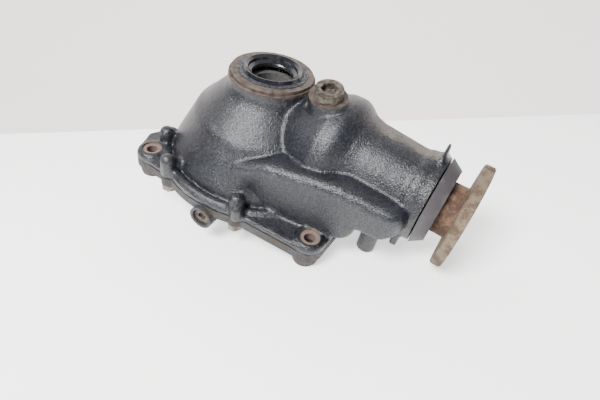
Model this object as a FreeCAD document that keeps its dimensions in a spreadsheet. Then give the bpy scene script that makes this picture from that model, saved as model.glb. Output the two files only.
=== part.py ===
import FreeCAD, Part
import Sketcher
import math
import os
import re

from FreeCAD import Placement, Rotation, Vector

# Front differential of a four wheel drive car: a cast housing with a dished cover, a spiral
# bevel pinion and crown wheel on taper roller bearings, and a two planet differential.
# Sketches are drawn with the pinion axis along X and the axle axis along Z, crossing at the
# origin. Every finished piece is then lifted by axis_height, so the mounting feet stand at zero.

SIZES = {
    # where the two axes lie over the feet, and where the casting is split
    "axis_height": 68,
    "joint_drop": 48,
    # bell over the crown wheel
    "bell_foot_radius": 96.5,
    "bell_hip_radius": 93.5,
    "bell_hip_drop": 34,
    "bell_shoulder_radius": 74.6,
    "bell_shoulder_rise": 2,
    "bell_crown_radius": 67,
    "bell_crown_rise": 11.5,
    "bell_throat_radius": 42,
    "bell_throat_rise": 38,
    "bell_wall": 6.5,
    # machined ring round the output seal
    "seal_ring_rise": 46,
    "seal_ring_step": 1.6,
    "seal_ring_height": 4.8,
    "seal_ring_radius": 40.2,
    # flange and mounting lugs
    "flange_radius": 107,
    "flange_back_radius": 98,
    "flange_front_half": 155,
    "flange_thickness": 6,
    "bead_radius": 4,
    "bead_inset": 5.5,
    "lug_radius": 15,
    "lug_pad_radius": 11.5,
    "lug_face_drop": 40.5,
    "lug_hole_radius": 5.5,
    "front_lug_x": 111,
    "front_lug_y": 78.4,
    "rear_lug_x": 79.1,
    "rear_lug_y": 85.1,
    "foot_radius": 12,
    # cover bolts
    "bolt_circle_radius": 101.5,
    "boss_radius": 7.8,
    "boss_top_drop": 23,
    "outer_bolt_offset": 4.5,
    "lump_radius": 6,
    "inner_lump_radius": 97,
    "outer_lump_radius": 107.5,
    "lump_top_drop": 30,
    "cover_bolt_radius": 4,
    "cover_bolt_depth": 18,
    "bolt_clearance": 0.4,
    "dowel_radius": 4,
    "dowel_length": 14,
    # neck round the pinion bearings
    "neck_start_x": 46,
    "neck_start_radius": 44.5,
    "head_boss_radius": 57,
    "head_boss_x": 79,
    "head_boss_length": 11,
    "waist_radius": 44.6,
    "waist_x": 116,
    "neck_small_radius": 40.6,
    "neck_small_x": 160,
    "collar_radius": 42.4,
    "collar_x": 167,
    "collar_length": 6.5,
    "neck_end_x": 184,
    "neck_end_radius": 41.7,
    "fin_radius": 59.5,
    "fin_thickness": 3,
    "fin_root": 7,
    # side gallery, whose wall closes in on the neck by the splay
    "gallery_start_x": 20,
    "gallery_reach": 82,
    "gallery_splay": 8.6,
    "gallery_low_top": 8,
    "gallery_high_top": 15,
    "gallery_end_x": 178,
    "gallery_nose": 15,
    "gallery_round": 9,
    "gallery_floor_drop": 19,
    "far_web_reach": 59.5,
    # plugs
    "filler_x": 68,
    "filler_tilt": 12,
    "filler_boss_radius": 18,
    "filler_boss_reach": 60,
    "filler_hole_radius": 9,
    "plug_head_radius": 13,
    "plug_head_height": 7.5,
    "plug_hex": 14,
    "plug_hex_depth": 6,
    "washer_thickness": 1,
    "drain_angle": 85,
    "drain_drop": 61.5,
    "drain_boss_radius": 12,
    "drain_boss_reach": 111,
    "drain_recess_radius": 9,
    "drain_recess_depth": 8,
    "drain_hole_radius": 7,
    "drain_hex": 8,
    "drain_hex_depth": 3.5,
    "drain_head_height": 4,
    # legs under the neck
    "leg_x": 152,
    "leg_y": 33,
    "leg_radius": 9,
    "leg_drop": 60,
    "leg_hole_radius": 4.2,
    "leg_hole_depth": 16,
    # cover
    "cover_rim_thickness": 9,
    "cover_wall": 6,
    "dish_radius": 84,
    "dish_floor_drop": 61,
    "hub_radius": 43,
    "spigot_radius": 40,
    "spigot_drop": 93,
    "seat_relief": 1.5,
    "cover_boss_drop": 58,
    "ring_groove_radius": 90,
    "ring_section": 1.6,
    # carrier bearings and output seals
    "carrier_cup_radius": 36.5,
    "carrier_journal_radius": 22.5,
    "carrier_bearing_width": 19.5,
    "bell_bearing_rise": 21,
    "cover_bearing_drop": 52,
    "carrier_shim": 1,
    "web_thickness": 2,
    "web_radius": 30.5,
    "seal_bore_radius": 34,
    "seal_width": 8,
    "seal_lip_radius": 19.6,
    "output_bore_radius": 16.5,
    "roller_gap": 0.08,
    "roller_slope": 13,
    # spiral bevel pair
    "crown_teeth": 40,
    "pinion_teeth": 11,
    "crown_pitch_radius": 77.5,
    "face_width": 26,
    "spiral_angle": 35,
    "pressure_angle": 22,
    "backlash": 0.3,
    "crown_bore_radius": 44,
    "crown_back_drop": 40,
    # differential case and gears
    "case_middle_drop": 12,
    "case_radius": 42.5,
    "case_wall": 7,
    "side_seat": 26,
    "side_seat_depth": 6,
    "window_half_width": 23,
    "window_corner": 8,
    "window_low": 13,
    "window_high": 18,
    "lock_radius": 2,
    "lock_inset": 4.5,
    "pin_play": 0.02,
    "case_flange_radius": 66,
    "case_flange_thickness": 10,
    "crown_bolt_circle": 55,
    "crown_bolt_radius": 5,
    "crown_bolt_count": 10,
    "side_teeth": 16,
    "planet_teeth": 10,
    "planet_pitch_radius": 18,
    "planet_face": 12,
    "cross_pin_radius": 8,
    "thrust_washer": 0.8,
    "side_hub_radius": 21,
    "spline_radius": 14.5,
    "running_clearance": 0.05,
    # pinion line
    "head_bearing_x": 83,
    "head_bearing_width": 21,
    "head_cup_radius": 38,
    "head_journal_radius": 17.5,
    "tail_bearing_x": 140,
    "tail_bearing_width": 18,
    "tail_cup_radius": 31,
    "tail_journal_radius": 15,
    "pinion_shim": 1.2,
    "pinion_seal_radius": 33,
    "pinion_seal_width": 10,
    "sleeve_radius": 19,
    "pinion_spline_radius": 13.5,
    "pinion_thread_radius": 12,
    # input flange and dust shield
    "flange_hub_radius": 24.7,
    "flange_back_x": 210.4,
    "flange_disc_thickness": 9.4,
    "flange_disc_radius": 49.75,
    "flange_bolt_circle": 40,
    "flange_hole_radius": 5.25,
    "nut_recess_radius": 20.5,
    "nut_hex": 32,
    "nut_height": 11,
    "shield_start_x": 185.4,
    "shield_length": 11.4,
    "shield_big_radius": 42.8,
    "shield_small_radius": 35.4,
    "shield_wall": 2.5,
}

COVER_BOLT_ANGLES = (-141, -115, -67.5, -24, 24, 67.5, 115, 141, 163)
# one bolt stands further out than the circle of the others
OUTER_BOLT_ANGLE = -115
DOWEL_ANGLES = (-98, 151)

doc = FreeCAD.newDocument("front_differential")
sheet = doc.addObject("Spreadsheet::Sheet", "Sizes")
for row, (alias, number) in enumerate(SIZES.items(), start=1):
    sheet.set("A%d" % row, alias)
    sheet.set("B%d" % row, str(number))
    sheet.setAlias("B%d" % row, alias)
doc.recompute()

JOINT = "(0 - joint_drop)"


def bound(formula):
    """The formula with every size read from the sheet, as other objects write it."""
    return re.sub(r"[a-z_]{3,}", lambda word: word.group() if word.group() not in SIZES
                  else "Sizes." + word.group(), formula)


def value(formula):
    """The formula worked out now, in millimetres or degrees."""
    return float(sheet.evalExpression(formula))


pieces = []


def lifted(piece, label):
    """Gives a finished piece its name, and lifts it to stand over the feet."""
    piece.Label = label
    lift = Placement(Vector(0, 0, value("axis_height")), Rotation())
    piece.Placement = lift.multiply(piece.Placement)
    pieces.append(piece)
    return piece


def new_body(label):
    body = doc.addObject("PartDesign::Body", label)
    lifted(body, label)
    body.setExpression("Placement.Base.z", "Sizes.axis_height")
    return body


def sketch_on(body, plane, name, height="0", turn=None):
    """A sketch on one of the body's origin planes. It is raised by height, or turned about the
    plane's own X or Y and then moved out by a reach."""
    origin_plane = [item for item in body.Origin.OriginFeatures if item.Role == plane][0]
    sketch = body.newObject("Sketcher::SketchObject", name)
    sketch.AttachmentSupport = [(origin_plane, "")]
    sketch.MapMode = "FlatFace"
    if not turn:
        sketch.setExpression("AttachmentOffset.Base.z", bound(height))
        return sketch
    axis, angle, reach = turn
    direction = Vector(1, 0, 0) if axis == "X" else Vector(0, 1, 0)
    sketch.AttachmentOffset = Placement(Vector(), Rotation(direction, value(angle)))
    sketch.setExpression("AttachmentOffset.Rotation.Angle", bound(angle))
    sideways = ("y", "0 - (%s) * sin(%s)") if axis == "X" else ("x", "(%s) * sin(%s)")
    sketch.setExpression("AttachmentOffset.Base." + sideways[0],
                         bound(sideways[1] % (reach, angle)))
    sketch.setExpression("AttachmentOffset.Base.z", bound("(%s) * cos(%s)" % (reach, angle)))
    return sketch


def pin_point(sketch, line, end, across, up):
    """Holds one end of a line at a place worked out from the sheet."""
    for kind, formula in (("DistanceX", across), ("DistanceY", up)):
        index = sketch.addConstraint(
            Sketcher.Constraint(kind, -1, 1, line, end, value(formula)))
        sketch.setExpression("Constraints[%d]" % index, bound(formula))


def draw_outline(sketch, points):
    """A closed outline. A point is (across, up), or (across, up, radius) before an arc,
    whose radius is positive where the outline bulges to the left of its own direction."""
    places = [Vector(value(point[0]), value(point[1]), 0) for point in points]
    first = len(sketch.Geometry)
    for number, point in enumerate(points):
        start = places[number]
        stop = places[(number + 1) % len(points)]
        if len(point) == 2:
            sketch.addGeometry(Part.LineSegment(start, stop))
            continue
        radius = value(point[2])
        chord = stop - start
        left = Vector(-chord.y, chord.x, 0).normalize()
        depth = abs(radius) - math.sqrt(radius * radius - chord.Length ** 2 / 4)
        middle = (start + stop) * 0.5 + left * math.copysign(depth, radius)
        sketch.addGeometry(Part.ArcOfCircle(start, middle, stop))
    for number, point in enumerate(points):
        line = first + number
        following = first + (number + 1) % len(points)
        # an arc always runs anticlockwise, so its ends are found by their place
        start_end, stop_end = 1, 2
        if len(point) == 3 and (sketch.getPoint(line, 1) - places[number]).Length > 1e-6:
            start_end, stop_end = 2, 1
        pin_point(sketch, line, start_end, point[0], point[1])
        next_point = points[(number + 1) % len(points)]
        next_end = 1
        if len(next_point) == 3:
            place = places[(number + 1) % len(points)]
            if (sketch.getPoint(following, 1) - place).Length > 1e-6:
                next_end = 2
        sketch.addConstraint(
            Sketcher.Constraint("Coincident", line, stop_end, following, next_end))
        if len(point) == 3:
            index = sketch.addConstraint(
                Sketcher.Constraint("Radius", line, abs(value(point[2]))))
            sketch.setExpression("Constraints[%d]" % index, bound("abs(%s)" % point[2]))


def draw_circle(sketch, across, up, radius):
    """A circle whose centre and radius follow the sheet."""
    centre = Vector(value(across), value(up), 0)
    line = sketch.addGeometry(Part.Circle(centre, Vector(0, 0, 1), value(radius)))
    pin_point(sketch, line, 3, across, up)
    index = sketch.addConstraint(Sketcher.Constraint("Radius", line, value(radius)))
    sketch.setExpression("Constraints[%d]" % index, bound(radius))


def draw_hexagon(sketch, across, up, flats):
    """A hexagon given by its width across flats."""
    corners = []
    for corner in range(6):
        angle = 30 + 60 * corner
        reach = "(%s) / 2 / cos(30)" % flats
        corners.append(("%s + %s * cos(%d)" % (across, reach, angle),
                        "%s + %s * sin(%d)" % (up, reach, angle)))
    draw_outline(sketch, corners)


def extrude(body, kind, sketch, name, length, reverse=False, both=False):
    """A pad or pocket of the given length."""
    feature = body.newObject("PartDesign::" + kind, name)
    feature.Profile = sketch
    feature.Type = "Length"
    feature.setExpression("Length", bound(length))
    feature.Reversed = reverse
    feature.Midplane = both
    feature.Refine = False
    return feature


def turn_round(body, kind, sketch, name, axis):
    """A revolution or groove about the sketch's own upright or level axis."""
    feature = body.newObject("PartDesign::" + kind, name)
    feature.Profile = sketch
    feature.ReferenceAxis = (sketch, ["V_Axis" if axis == "Z" else "H_Axis"])
    feature.Angle = 360
    feature.Refine = False
    return feature


def half_section(body, name, axis, outline):
    """The half section of a turned form. The outline gives (along the axis, radius)."""
    sketch = sketch_on(body, "XZ_Plane", name)
    if axis == "Z":
        flipped = []
        for point in outline:
            arc = () if len(point) == 2 else ("0 - (%s)" % point[2],)
            flipped.append((point[1], point[0]) + arc)
        draw_outline(sketch, flipped)
    else:
        draw_outline(sketch, outline)
    return sketch


def turned(label, axis, outline):
    """A piece turned from bar or pressed from sheet, made in one revolution."""
    body = new_body(label)
    sketch = half_section(body, label + "_section", axis, outline)
    turn_round(body, "Revolution", sketch, label + "_turned", axis)
    return body


def ring(label, axis, start, stop, inner, outer):
    """A plain ring between two places on an axis."""
    return turned(label, axis, [(start, inner), (stop, inner), (stop, outer), (start, outer)])


def built(label, shape):
    """A piece whose shape is worked out by this script."""
    feature = doc.addObject("Part::Feature", label)
    feature.Shape = shape
    return lifted(feature, label)


def polar(radius, angle):
    """Across and up of a place on a circle, as two formulas."""
    return "(%s) * cos(%s)" % (radius, angle), "(%s) * sin(%s)" % (radius, angle)


# The outline that housing and cover share: a disc that is wider round the front, a broad
# plate to the front lugs under the neck, and a plate to each rear lug.

def lug_places():
    """The four lugs: front pair, then rear pair."""
    places = []
    for side in ("-1", "1"):
        places.append(("front_lug_x", "%s * front_lug_y" % side))
        places.append(("0 - rear_lug_x", "%s * rear_lug_y" % side))
    return places


def add_plate(body, name, height, thickness, reverse):
    """The flange: its disc, its lug plates and the round lugs, padded from height."""
    disc = sketch_on(body, "XY_Plane", name + "_disc", height)
    draw_circle(disc, "0", "0", "flange_back_radius")
    extrude(body, "Pad", disc, name + "_disc_pad", thickness, reverse)
    fan = sketch_on(body, "XY_Plane", name + "_fan", height)
    edge = [("0", "0")]
    for share in ("-1", "-0.5", "0", "0.5"):
        edge.append(polar("flange_radius", "%s * flange_front_half" % share)
                    + ("0 - flange_radius",))
    edge.append(polar("flange_radius", "flange_front_half"))
    draw_outline(fan, edge)
    extrude(body, "Pad", fan, name + "_fan_pad", thickness, reverse)
    front = sketch_on(body, "XY_Plane", name + "_front", height)
    outer = "front_lug_y + lug_radius"
    nose = "front_lug_x + lug_radius"
    draw_outline(front, [
        ("flange_radius * 0.37", "0 - flange_radius * 0.92"),
        ("front_lug_x", "0 - (%s)" % outer), (nose, "0 - front_lug_y"),
        (nose, "front_lug_y"), ("front_lug_x", outer),
        ("flange_radius * 0.37", "flange_radius * 0.92")])
    extrude(body, "Pad", front, name + "_front_pad", thickness, reverse)
    for side, word in (("-1", "near"), ("1", "far")):
        rear = sketch_on(body, "XY_Plane", "%s_rear_%s" % (name, word), height)
        corners = [
            ("0 - flange_radius * 0.3", "flange_radius * 0.94"),
            ("0 - rear_lug_x + lug_radius * 0.35", "rear_lug_y + lug_radius * 0.94"),
            ("0 - rear_lug_x - lug_radius * 0.9", "rear_lug_y + lug_radius * 0.4"),
            ("0 - flange_radius * 0.965", "flange_radius * 0.62"),
            ("0 - flange_radius * 0.88", "flange_radius * 0.38")]
        draw_outline(rear, [(across, "%s * (%s)" % (side, up)) for across, up in corners])
        extrude(body, "Pad", rear, "%s_rear_%s_pad" % (name, word), thickness, reverse)
    lugs = sketch_on(body, "XY_Plane", name + "_lugs", height)
    for across, up in lug_places():
        draw_circle(lugs, across, up, "lug_radius")
    extrude(body, "Pad", lugs, name + "_lugs_pad", thickness, reverse)


def round_holes(body, name, plane_height, places, radius, depth, reverse):
    """Holes of one size cut from a height."""
    sketch = sketch_on(body, "XY_Plane", name, plane_height)
    for across, up in places:
        draw_circle(sketch, across, up, radius)
    return extrude(body, "Pocket", sketch, name + "_cut", depth, reverse)


def bolt_places(angles, radius):
    return [polar(radius, str(angle)) for angle in angles]


def cover_bolt_places():
    places = []
    for angle in COVER_BOLT_ANGLES:
        offset = " + outer_bolt_offset" if angle == OUTER_BOLT_ANGLE else ""
        places.append(polar("bolt_circle_radius" + offset, str(angle)))
    return places


def lump_places():
    """A small lump beside two of the bolt bosses: one towards the bell, one outwards."""
    return [polar("inner_lump_radius", str(OUTER_BOLT_ANGLE)), polar("outer_lump_radius", "-66.5")]


def filler_at(reach):
    return ("X", "filler_tilt", reach)


def drain_at(reach):
    return ("Y", "0 - drain_angle", reach)


FILLER_SEAT = "filler_boss_reach"
DRAIN_SEAT = "(drain_boss_reach - drain_recess_depth)"

# The housing is one grey iron casting, sand cast round a core, then bored for the bearings
# and seals, faced at the joint and spot faced at the lugs.

housing = new_body("housing")
gallery = sketch_on(housing, "XZ_Plane", "gallery_side")
WEB_END = "front_lug_x + lug_radius - 2"
draw_outline(gallery, [
    ("gallery_start_x", "0 - joint_drop + flange_thickness"),
    ("gallery_start_x", "0 - 6"), ("gallery_start_x + 30", "gallery_low_top - 1"),
    ("head_boss_x + 18", "gallery_high_top - 2"), ("waist_x + 4", "gallery_high_top"),
    ("gallery_end_x", "gallery_low_top + 2"), ("gallery_end_x", "0 - gallery_floor_drop + 9"),
    ("gallery_end_x - 12", "0 - gallery_floor_drop"),
    (WEB_END + " + 18", "0 - gallery_floor_drop", "18"),
    (WEB_END, "0 - joint_drop + flange_thickness + 2"), (WEB_END, "0 - joint_drop + 1")])
extrude(housing, "Pad", gallery, "gallery", "gallery_reach")
wall_cut = sketch_on(housing, "XY_Plane", "gallery_wall", "gallery_high_top + 1")
NOSE_START = "(gallery_end_x - gallery_nose * (1 - sin(gallery_splay)))"
NOSE_WALL = ("(0 - gallery_reach + (%s - gallery_start_x) * tan(gallery_splay))" % NOSE_START)
draw_outline(wall_cut, [
    ("gallery_start_x - 1", "0 - gallery_reach - 1"),
    ("gallery_end_x + 1", "0 - gallery_reach - 1"),
    ("gallery_end_x + 1", NOSE_WALL + " + gallery_nose * cos(gallery_splay)"),
    ("gallery_end_x", NOSE_WALL + " + gallery_nose * cos(gallery_splay)", "gallery_nose"),
    (NOSE_START, NOSE_WALL), ("gallery_start_x - 1", "0 - gallery_reach - tan(gallery_splay)")])
wall_pocket = extrude(housing, "Pocket", wall_cut, "gallery_wall_cut",
                      "gallery_high_top + joint_drop + 1")
doc.recompute()
crest = []
for number, line in enumerate(wall_pocket.Shape.Edges, start=1):
    box = line.BoundBox
    nose = box.XLength < 1e-6 and abs(box.XMin - value("gallery_end_x")) < 1e-6
    along_wall = box.XLength > 1 and box.YMax < value("0 - head_boss_radius * 0.7")
    if box.ZMin > value("0 - 7") and (along_wall or (nose and box.YLength > 1)):
        crest.append("Edge%d" % number)
crest_round = housing.newObject("PartDesign::Fillet", "gallery_crest")
crest_round.Base = (wall_pocket, crest)
crest_round.setExpression("Radius", "Sizes.gallery_round")
bell = half_section(housing, "bell_section", "Z", [
    (JOINT, "0"), (JOINT, "bell_foot_radius"),
    ("0 - bell_hip_drop", "bell_hip_radius"),
    ("bell_shoulder_rise", "bell_shoulder_radius", "18"),
    ("bell_crown_rise", "bell_crown_radius"),
    ("bell_throat_rise - 10", "bell_throat_radius + 8.5", "0 - 22"),
    ("bell_throat_rise + 4", "bell_throat_radius"),
    ("seal_ring_rise + seal_ring_step", "bell_throat_radius"),
    ("seal_ring_rise + seal_ring_step", "seal_ring_radius"),
    ("seal_ring_rise + seal_ring_height", "seal_ring_radius"),
    ("seal_ring_rise + seal_ring_height", "0")])
turn_round(housing, "Revolution", bell, "bell", "Z")

neck = half_section(housing, "neck_section", "X", [
    ("0", "0"), ("0", "neck_start_radius * 0.6"), ("neck_start_x", "neck_start_radius"),
    ("head_boss_x", "head_boss_radius"),
    ("head_boss_x + head_boss_length", "head_boss_radius", "20"),
    ("head_boss_x + head_boss_length + 10", "head_boss_radius - 5"),
    ("waist_x - 10", "waist_radius + 3"), ("waist_x", "waist_radius"),
    ("neck_small_x", "neck_small_radius"), ("collar_x - 2", "neck_small_radius"),
    ("collar_x", "collar_radius"), ("collar_x + collar_length", "collar_radius"),
    ("collar_x + collar_length + 1.5", "collar_radius - 1.8"),
    ("neck_end_x - 6", "collar_radius - 1.8"), ("neck_end_x - 5", "neck_end_radius"),
    ("neck_end_x", "neck_end_radius"), ("neck_end_x", "0")])
turn_round(housing, "Revolution", neck, "neck", "X")

far_box = sketch_on(housing, "XZ_Plane", "far_side_web")
draw_outline(far_box, [
    ("gallery_start_x", "0 - joint_drop + flange_thickness"), ("gallery_start_x", "0 - 10"),
    ("front_lug_x - 11", "0 - 10"), (WEB_END, "0 - 30"), (WEB_END, "0 - joint_drop + 1")])
extrude(housing, "Pad", far_box, "far_web", "far_web_reach", reverse=True)

add_plate(housing, "flange", JOINT, "flange_thickness", False)
bead = sketch_on(housing, "XZ_Plane", "bead_section")
draw_circle(bead, "flange_radius - bead_inset", "0 - joint_drop + flange_thickness",
            "bead_radius")
rim_bead = turn_round(housing, "Revolution", bead, "rim_bead", "Z")
rim_bead.Midplane = True
rim_bead.setExpression("Angle", "2 * Sizes.flange_front_half")
lug_pads = sketch_on(housing, "XY_Plane", "lug_pads", JOINT)
for across, up in lug_places():
    draw_circle(lug_pads, across, up, "lug_pad_radius")
extrude(housing, "Pad", lug_pads, "lug_pads_pad", "joint_drop - lug_face_drop")

bosses = sketch_on(housing, "XY_Plane", "bolt_bosses", JOINT)
for across, up in cover_bolt_places():
    draw_circle(bosses, across, up, "boss_radius")
extrude(housing, "Pad", bosses, "bolt_bosses_pad", "joint_drop - boss_top_drop - boss_radius")
for number, (across, up) in enumerate(cover_bolt_places()):
    dome = housing.newObject("PartDesign::AdditiveSphere", "boss_dome_%d" % number)
    dome.Refine = False
    dome.setExpression("Radius", "Sizes.boss_radius")
    dome.setExpression("Placement.Base.x", bound(across))
    dome.setExpression("Placement.Base.y", bound(up))
    dome.setExpression("Placement.Base.z", bound("0 - boss_top_drop - boss_radius"))

lumps = sketch_on(housing, "XY_Plane", "boss_lumps", JOINT)
for across, up in lump_places():
    draw_circle(lumps, across, up, "lump_radius")
extrude(housing, "Pad", lumps, "boss_lumps_pad", "joint_drop - lump_top_drop - lump_radius")
for number, (across, up) in enumerate(lump_places()):
    dome = housing.newObject("PartDesign::AdditiveSphere", "lump_dome_%d" % number)
    dome.Refine = False
    dome.setExpression("Radius", "Sizes.lump_radius")
    dome.setExpression("Placement.Base.x", bound(across))
    dome.setExpression("Placement.Base.y", bound(up))
    dome.setExpression("Placement.Base.z", bound("0 - lump_top_drop - lump_radius"))

legs = sketch_on(housing, "XY_Plane", "neck_legs", "0 - leg_drop")
for side in ("-1", "1"):
    draw_circle(legs, "leg_x", "%s * leg_y" % side, "leg_radius")
extrude(housing, "Pad", legs, "neck_legs_pad", "leg_drop - 10")

filler_boss = sketch_on(housing, "XY_Plane", "filler_boss", turn=filler_at("0"))
draw_circle(filler_boss, "filler_x", "0", "filler_boss_radius")
extrude(housing, "Pad", filler_boss, "filler_boss_pad", "filler_boss_reach")

# a fin stands on the neck by its mouth, with a broad root, and a smaller one hangs below
for name, thick, reach, low, high in (
        ("fin_root", "fin_root", "neck_end_radius + 5", 132, 60),
        ("fin", "fin_thickness", "fin_radius", 100, 72)):
    fin = sketch_on(housing, "YZ_Plane", "neck_" + name, "neck_end_x - 2.5 - fin_root / 2"
                    " - (%s) / 2" % thick)
    draw_outline(fin, [
        polar("neck_end_radius * 0.9", str(low)), polar("neck_end_radius + 0.5", str(low)),
        polar(reach, "88"), polar("(%s) * 0.6 + neck_end_radius * 0.4" % reach, str(high)),
        polar("neck_end_radius * 0.9", str(high))])
    extrude(housing, "Pad", fin, "neck_%s_pad" % name, thick)
spur = sketch_on(housing, "YZ_Plane", "neck_spur", "neck_end_x - 14")
draw_outline(spur, [
    polar("neck_end_radius * 0.9", "222"), polar("neck_end_radius + 1", "222"),
    polar("neck_end_radius + 13", "236"), polar("neck_end_radius + 1", "250"),
    polar("neck_end_radius * 0.9", "250")])
extrude(housing, "Pad", spur, "neck_spur_pad", "fin_root")

# the joint face is milled through the foot of the neck
joint_face = sketch_on(housing, "XY_Plane", "joint_face", JOINT)
draw_outline(joint_face, [
    ("gallery_start_x", "0 - head_boss_radius"),
    ("front_lug_x + lug_radius", "0 - head_boss_radius"),
    ("front_lug_x + lug_radius", "head_boss_radius"),
    ("gallery_start_x", "head_boss_radius")])
extrude(housing, "Pocket", joint_face, "joint_face_cut", "head_boss_radius - joint_drop + 1")

# what the core and the boring bars leave inside
cavity = half_section(housing, "bell_cavity_section", "Z", [
    ("0 - joint_drop - 1", "0"), ("0 - joint_drop - 1", "dish_radius"),
    ("0 - joint_drop + 6", "dish_radius"), ("0 - joint_drop + 8", "crown_pitch_radius + 4"),
    ("0 - bell_hip_drop + 17", "crown_pitch_radius + 3"),
    ("bell_shoulder_rise - 3", "bell_shoulder_radius - bell_wall"),
    ("bell_crown_rise - 3", "bell_crown_radius - bell_wall"),
    ("bell_bearing_rise - 1", "carrier_cup_radius + 9"), ("bell_bearing_rise - 1", "0")])
turn_round(housing, "Groove", cavity, "bell_cavity", "Z")
bell_bores = half_section(housing, "bell_bores_section", "Z", [
    ("bell_bearing_rise - 2", "0"), ("bell_bearing_rise - 2", "carrier_cup_radius"),
    ("bell_bearing_rise + carrier_bearing_width + carrier_shim", "carrier_cup_radius"),
    ("bell_bearing_rise + carrier_bearing_width + carrier_shim", "web_radius"),
    ("bell_bearing_rise + carrier_bearing_width + carrier_shim + web_thickness",
     "web_radius"),
    ("bell_bearing_rise + carrier_bearing_width + carrier_shim + web_thickness",
     "seal_bore_radius"),
    ("seal_ring_rise + seal_ring_height + 1", "seal_bore_radius"),
    ("seal_ring_rise + seal_ring_height + 1", "0")])
turn_round(housing, "Groove", bell_bores, "bell_bores", "Z")
neck_bores = half_section(housing, "neck_bores_section", "X", [
    ("40", "0"), ("40", "head_cup_radius"),
    ("head_bearing_x + head_bearing_width", "head_cup_radius"),
    ("head_bearing_x + head_bearing_width", "head_cup_radius - 5"),
    ("head_bearing_x + head_bearing_width + 4", "head_cup_radius - 5"),
    ("tail_bearing_x - 4", "tail_cup_radius - 4.5"),
    ("tail_bearing_x", "tail_cup_radius - 4.5"), ("tail_bearing_x", "tail_cup_radius"),
    ("neck_end_x - pinion_seal_width - 4", "tail_cup_radius"),
    ("neck_end_x - pinion_seal_width - 4", "pinion_seal_radius"),
    ("neck_end_x + 1", "pinion_seal_radius"), ("neck_end_x + 1", "0")])
turn_round(housing, "Groove", neck_bores, "neck_bores", "X")

round_holes(housing, "lug_holes", JOINT, lug_places(), "lug_hole_radius",
            "joint_drop", True)
round_holes(housing, "cover_bolt_holes", JOINT, cover_bolt_places(), "cover_bolt_radius",
            "cover_bolt_depth + 1", True)
round_holes(housing, "dowel_holes", JOINT,
            bolt_places(DOWEL_ANGLES, "bolt_circle_radius"), "dowel_radius",
            "dowel_length / 2 + 0.5", True)
round_holes(housing, "leg_holes", "0 - leg_drop",
            [("leg_x", "%s * leg_y" % side) for side in ("-1", "1")], "leg_hole_radius",
            "leg_hole_depth", True)
filler_bore = sketch_on(housing, "XY_Plane", "filler_bore", turn=filler_at("0"))
draw_circle(filler_bore, "filler_x", "0", "filler_hole_radius")
extrude(housing, "Pocket", filler_bore, "filler_bore_cut", "filler_boss_reach + 1", True)

# The cover is a dished iron casting of the same plan, with a tapered foot under each lug,
# a boss under each bolt and a turned spigot that centres the whole unit.

cover = new_body("cover")
drain_boss = sketch_on(cover, "YZ_Plane", "drain_boss", turn=drain_at("0"))
draw_circle(drain_boss, "0", "0 - drain_drop", "drain_boss_radius")
extrude(cover, "Pad", drain_boss, "drain_boss_pad", "drain_boss_reach")
# below the feet the boss stops short, to leave room round the spigot
spigot_room = half_section(cover, "spigot_room_section", "Z", [
    ("seat_relief - axis_height", "0"), ("seat_relief - axis_height", "spigot_radius * 2"),
    ("0 - spigot_drop", "spigot_radius * 2"), ("0 - spigot_drop", "0")])
turn_round(cover, "Groove", spigot_room, "spigot_room", "Z")
dish = half_section(cover, "dish_section", "Z", [
    (JOINT, "0"), (JOINT, "bolt_circle_radius - boss_radius - 1"),
    ("0 - joint_drop - cover_rim_thickness", "bolt_circle_radius - boss_radius - 1"),
    ("0 - dish_floor_drop", "dish_radius + cover_wall"),
    ("0 - dish_floor_drop - cover_wall + 1", "dish_radius - 10"),
    ("0 - dish_floor_drop - cover_wall", "hub_radius + 8"),
    ("0 - dish_floor_drop - cover_wall", "spigot_radius"),
    ("0 - spigot_drop + 2", "spigot_radius"), ("0 - spigot_drop", "spigot_radius - 1.5"),
    ("0 - spigot_drop", "0")])
turn_round(cover, "Revolution", dish, "dish", "Z")
add_plate(cover, "rim", JOINT, "cover_rim_thickness", True)
feet = sketch_on(cover, "XY_Plane", "feet", JOINT)
for across, up in lug_places():
    draw_circle(feet, across, up, "lug_radius")
feet_pad = extrude(cover, "Pad", feet, "feet_pad", "axis_height - joint_drop", True)
feet_pad.setExpression(
    "TaperAngle",
    bound("-1 * atan((lug_radius - foot_radius) / (axis_height - joint_drop))"))
cover_bosses = sketch_on(cover, "XY_Plane", "cover_bosses", JOINT)
for across, up in cover_bolt_places():
    draw_circle(cover_bosses, across, up, "boss_radius")
extrude(cover, "Pad", cover_bosses, "cover_bosses_pad", "cover_boss_drop - joint_drop", True)

cover_cavity = half_section(cover, "cover_cavity_section", "Z", [
    ("0 - joint_drop + 1", "0"), ("0 - joint_drop + 1", "dish_radius"),
    ("0 - joint_drop - 5", "dish_radius"), ("0 - dish_floor_drop", "dish_radius - 10"),
    ("0 - dish_floor_drop", "hub_radius"), ("0 - cover_bearing_drop", "hub_radius"),
    ("0 - cover_bearing_drop", "carrier_cup_radius"),
    ("0 - cover_bearing_drop - carrier_bearing_width - carrier_shim",
     "carrier_cup_radius"),
    ("0 - cover_bearing_drop - carrier_bearing_width - carrier_shim", "web_radius"),
    ("0 - cover_bearing_drop - carrier_bearing_width - carrier_shim - web_thickness",
     "web_radius"),
    ("0 - cover_bearing_drop - carrier_bearing_width - carrier_shim - web_thickness",
     "seal_bore_radius"),
    ("0 - spigot_drop - 1", "seal_bore_radius"), ("0 - spigot_drop - 1", "0")])
turn_round(cover, "Groove", cover_cavity, "cover_cavity", "Z")
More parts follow.
